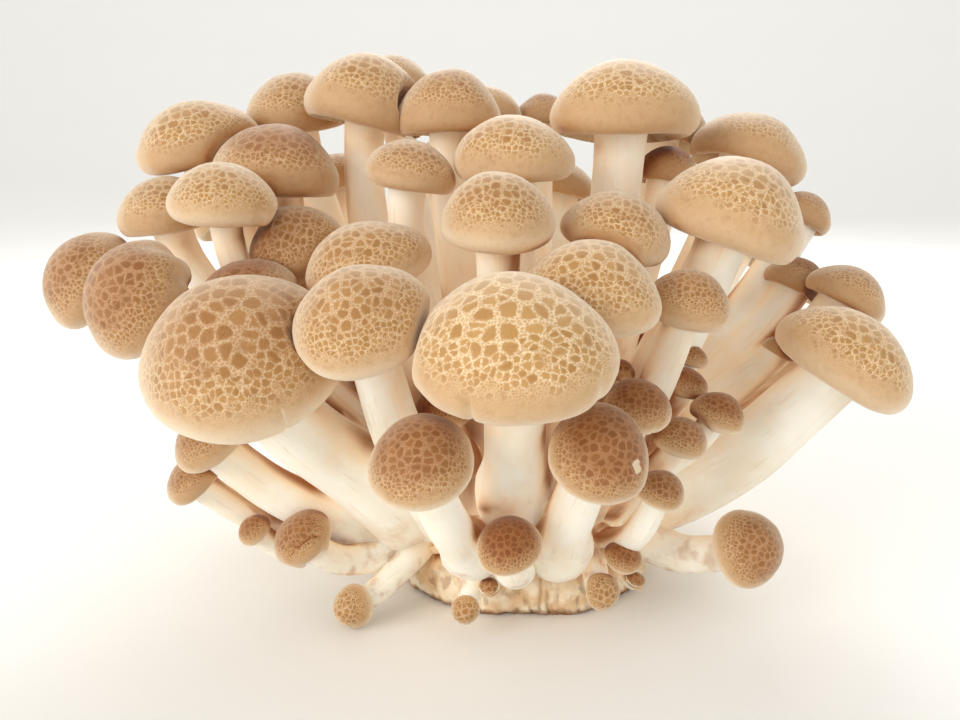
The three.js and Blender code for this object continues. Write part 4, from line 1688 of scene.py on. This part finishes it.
@dataclass
class StemBuilder:
    """Builds the fan of stems with the crown that they rise from.

    Args:
        mushrooms: the cluster's mushrooms.
        skylight: tells how open a point is.
        finish: the stems' material.
        foot: width at the foot, as a share of the stem's.
        neck: width under the cap, as a share of the stem's.
        bulge: how much thicker every stem is low down, as a share of its width.
        bulge_place: where that is, as a share of the length.
        bulge_length: how far it reaches, as a share of the length.
        flare: how much the stem widens into the cap, as a share of its width.
        lumps: how uneven the stem is, as a share of its width.
        rings: rings along a stem.
        fewest_sides: sides of a stem before its width counts.
        sides_per_mm: more sides for each millimetre of width.
        crown_sides: sides of the crown.
        past_socket: how far the stem reaches past the socket, as a share of the cap's height.
        lowest: the lowest point that a stem may reach, in millimetres.
    """

    mushrooms: list[Mushroom]
    skylight: Skylight
    finish: bpy.types.Material
    foot: float = 1.16
    neck: float = 0.84
    bulge: float = 0.06
    bulge_place: float = 0.25
    bulge_length: float = 0.16
    flare: float = 0.12
    lumps: float = 0.1
    rings: int = 22
    fewest_sides: int = 14
    sides_per_mm: float = 1.3
    crown_sides: int = 72
    past_socket: float = 0.16
    lowest: float = 0.6

    def line(self, mushroom: Mushroom) -> list[Vector]:
        """Gives the four points of the curve that a stem follows.

        Args:
            mushroom: the stem's mushroom.

        Returns:
            The points in millimetres, from the root to the top.
        """
        end = (BUD_SINK if mushroom.is_bud else SOCKET + self.past_socket) * mushroom.height
        top = mushroom.seat + mushroom.axis * end
        span = (top - mushroom.root).length
        return [mushroom.root, mushroom.rise, top - mushroom.axis * (STEM_BEND * span), top]

    def post(self, mushroom: Mushroom) -> bmesh.types.BMesh:
        """Builds one stem in its place.

        Args:
            mushroom: the stem's mushroom.

        Returns:
            The mesh in millimetres.
        """
        half = mushroom.stem / 2
        profile = [(0.0, 0.0)]
        for ring in range(self.rings + 1):
            share = ring / self.rings
            swell = self.foot + (self.neck - self.foot) * share
            away = (share - self.bulge_place) / self.bulge_length
            swell += (self.bulge + mushroom.swell) * math.exp(-(away**2))
            swell += self.flare * smooth(0.86, 1.0, share)
            swell *= smooth(-0.06, 0.05, share)
            profile.append((half * swell, share))
        profile.append((0.0, 1.0))
        sides = 2 * round((self.fewest_sides + self.sides_per_mm * mushroom.stem) / 2)
        mesh = turned(profile, sides)
        straight = mesh.verts.layers.float_vector.new("straight")
        points = self.line(mushroom)
        length = sum((b - a).length for a, b in zip(points, points[1:]))
        frames = self.frames(points)
        shift = Vector((chance(mushroom.number, 1), chance(mushroom.number, 2), 0.0)) * 90
        for vertex in mesh.verts:
            share = min(1.0, max(0.0, vertex.co.z))
            here = Vector((vertex.co.x, vertex.co.y, share * length))
            vertex[straight] = (here + shift) * MM
            lump = noise.noise(Vector((here.x / half, here.y / half, share * 5)) * 0.8 + shift)
            uneven = 1 + self.lumps * lump
            place, side, other = frames[round(share * self.rings)]
            vertex.co = place + (side * vertex.co.x + other * vertex.co.y) * uneven
        return mesh

    def frames(self, points: list[Vector]) -> list[tuple[Vector, Vector, Vector]]:
        """Gives the place and the two sideways directions at each ring.

        Args:
            points: the four points of the stem's curve.

        Returns:
            A place, a side and the other side for each ring.
        """
        start, rise, arrive, top = points
        found = []
        side = Vector((1, 0, 0))
        for ring in range(self.rings + 1):
            t = ring / self.rings
            u = 1 - t
            place = start * u**3 + rise * (3 * u * u * t) + arrive * (3 * u * t * t) + top * t**3
            ahead = (rise - start) * (u * u) + (arrive - rise) * (2 * u * t) + (top - arrive) * (t * t)
            ahead.normalize()
            side = (side - ahead * side.dot(ahead)).normalized()
            found.append((place, side.copy(), ahead.cross(side)))
        return found

    def crown(self) -> bmesh.types.BMesh:
        """Builds the lumpy tissue under the stems.

        Returns:
            The mesh in millimetres.
        """
        mesh = turned(CROWN, self.crown_sides)
        straight = mesh.verts.layers.float_vector.new("straight")
        for vertex in mesh.verts:
            point = vertex.co
            vertex[straight] = point * MM
            if point.z > 9.5 and point.xy.length > 1:
                lump = noise.noise(point * 0.16) * 1.3 + noise.noise(point * 0.45) * 0.6
                point.xy += point.xy.normalized() * lump
        return mesh

    def dress(self) -> bpy.types.Object:
        """Builds the fan of stems as one piece.

        Returns:
            The piece.
        """
        fan = bmesh.new()
        for mushroom in self.mushrooms:
            join(fan, self.post(mushroom))
        join(fan, self.crown())
        for vertex in fan.verts:
            vertex.co.z = max(vertex.co.z, self.lowest)
        fan.transform(Matrix.Scale(MM, 4))
        fan.normal_update()
        shade = fan.verts.layers.float.new("shade")
        for vertex in fan.verts:
            vertex[shade] = self.skylight.shade(vertex.co, vertex.normal)
        calm(fan, shade)
        piece = make_piece("stem_fan", fan, self.finish)
        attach(piece, "root")
        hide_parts("stems")
        log.info("%s: %d faces", piece.name, len(piece.data.polygons))
        return piece


@dataclass
class FootBuilder:
    """Builds the cut foot that the cluster stands on.

    Args:
        skylight: tells how open a point is.
        finish: the foot's material.
        radius: the foot's radius, in millimetres.
        height: its height, in millimetres.
        sides: sides of the turned shape.
        lump: how far its broad lumps stand out, in millimetres.
        rough: how far its small lumps stand out, in millimetres.
        cleft: how deep its clefts are, in millimetres.
        knobs: how many knobs of tissue stand round its top.
    """

    skylight: Skylight
    finish: bpy.types.Material
    radius: float = 24.0
    height: float = 9.0
    sides: int = 360
    lump: float = 0.8
    rough: float = 0.7
    cleft: float = 0.6
    knobs: int = 46

    def knob(self, index: int) -> bmesh.types.BMesh:
        """Builds one of the knobs of tissue round the top of the foot.

        Args:
            index: the knob's number.

        Returns:
            The mesh in millimetres.
        """
        size = 1.3 + 1.7 * chance(index, 5)
        angle = index * GOLDEN_ANGLE
        out = self.radius - 0.6 - 2.4 * chance(index, 6)
        place = Vector((out * math.cos(angle), out * math.sin(angle), 7.4 + 3.4 * chance(index, 7)))
        mesh = bmesh.new()
        bmesh.ops.create_icosphere(mesh, subdivisions=3, radius=1.0)
        for vertex in mesh.verts:
            uneven = size * (1 + 0.35 * noise.noise(vertex.co * 1.6 + place))
            vertex.co = place + Vector((vertex.co.x, vertex.co.y, 0.75 * vertex.co.z)) * uneven
        return mesh

    def dress(self) -> bpy.types.Object:
        """Builds the foot as one piece.

        Returns:
            The piece.
        """
        mesh = turned([(out * self.radius, up * self.height) for out, up in FOOT], self.sides)
        hollow = mesh.verts.layers.float.new("hollow")
        for vertex in mesh.verts:
            point = vertex.co
            out = point.xy.length
            if out > 1:
                angle = math.atan2(point.y, point.x)
                lump = 0.6 * math.sin(5 * angle + 0.2 * point.z) + 0.4 * math.sin(9 * angle - 0.3 * point.z)
                rough = noise.noise(Vector((point.x, point.y, point.z * 0.5)) * 0.45)
                rough += noise.noise(point * 1.3) * 0.5
                upright = Vector((point.x, point.y, point.z * 0.22))
                cleft = smooth(0.07, 0.0, abs(noise.noise(upright * 0.42 + CLEFTS)))
                share = smooth(0.5, 0.95, out / self.radius)
                vertex[hollow] = share * cleft
                relief = self.lump * lump + self.rough * rough - self.cleft * cleft
                point.xy *= (out + share * relief) / out
        for index in range(self.knobs):
            join(mesh, self.knob(index))
        mesh.transform(Matrix.Scale(MM, 4))
        mesh.normal_update()
        shade = mesh.verts.layers.float.new("shade")
        for vertex in mesh.verts:
            vertex[shade] = self.skylight.shade(vertex.co, vertex.normal)
        piece = make_piece("cut_foot", mesh, self.finish)
        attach(piece, "root")
        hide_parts("base")
        log.info("%s: %d faces", piece.name, len(piece.data.polygons))
        return piece


@dataclass(frozen=True)
class Lamp:
    """A soft square light.

    Args:
        name: the light's name.
        place: where it hangs, in metres.
        size: its side, in metres.
        power: its power in watts.
        color: its colour.
        aim: the point that it faces, in metres.
    """

    name: str
    place: tuple[float, float, float]
    size: float
    power: float
    color: tuple[float, float, float]
    aim: tuple[float, float, float] = (-0.005, 0.0, 0.05)

    def hang(self) -> None:
        """Hangs the light in the scene."""
        lamp = bpy.data.lights.new(self.name, "AREA")
        lamp.size = self.size
        lamp.energy = self.power
        lamp.color = self.color
        holder = bpy.data.objects.new(self.name, lamp)
        holder.location = self.place
        toward = Vector(self.aim) - Vector(self.place)
        holder.rotation_euler = toward.to_track_quat("-Z", "Y").to_euler()
        bpy.context.scene.collection.objects.link(holder)


@dataclass(frozen=True)
class Studio:
    """A plain pale floor that curves up into a backdrop, soft lights and the photograph's viewpoint."""

    floor: tuple = linear(250, 249, 246)
    sky: tuple = (1.0, 0.998, 0.992, 1.0)
    sky_power: float = 0.7
    floor_sides: int = 64
    lamps: tuple[Lamp, ...] = (
        Lamp("key", (-0.95, -0.7, 0.4), 0.75, 8.6, (1.0, 0.985, 0.955)),
        Lamp("fill", (0.8, -0.8, 0.4), 0.8, 1.8, (1.0, 0.98, 0.95)),
        Lamp("back", (0.1, 0.75, 0.7), 0.6, 4.6, (1.0, 0.99, 0.97)),
        Lamp("wash", (0.0, 1.0, 1.0), 1.4, 2.6, (1.0, 1.0, 1.0), aim=(0.0, 2.3, 0.6)),
    )

    def lay_floor(self) -> None:
        """Lays the floor."""
        material, sheet, shader = new_material("studio floor")
        sheet.dress(shader, {"Base Color": self.floor, "Roughness": 0.75, "Specular IOR Level": 0.2})
        floor = make_piece("studio_floor", turned(SWEEP, self.floor_sides), material)

    def place_camera(self) -> None:
        """Places the camera where the photograph was taken from."""
        camera = bpy.data.cameras.new("view")
        camera.lens = EYE_LENS
        camera.sensor_width = FILM_WIDTH
        camera.clip_start = 0.01
        holder = bpy.data.objects.new("view", camera)
        holder.location = EYE * MM
        holder.rotation_euler = (math.pi / 2 - EYE_PITCH, 0.0, 0.0)
        bpy.context.scene.collection.objects.link(holder)
        bpy.context.scene.camera = holder

    def set_up(self) -> None:
        """Makes the floor, world, lights and camera."""
        self.lay_floor()
        world = bpy.data.worlds.new("studio")
        world.use_nodes = True
        back = world.node_tree.nodes["Background"]
        back.inputs[0].default_value = self.sky
        back.inputs[1].default_value = self.sky_power
        bpy.context.scene.world = world
        for lamp in self.lamps:
            lamp.hang()
        bpy.context.scene.view_settings.view_transform = "Standard"
        self.place_camera()


def main() -> None:
    """Builds the cluster's pieces in order."""
    logging.basicConfig(level=logging.INFO, format="%(message)s")
    groups = Groups(NetGroup(), ShadeGroup())
    mushrooms = grown_mushrooms()
    skylight = Skylight()
    Studio().set_up()
    FootBuilder(skylight, FootCrust(groups).make()).dress()
    StemBuilder(mushrooms, skylight, StemFlesh(groups).make()).dress()
    CapBuilder(mushrooms, skylight, CapSkin(groups).make()).dress()


if __name__ == "__main__":
    main()
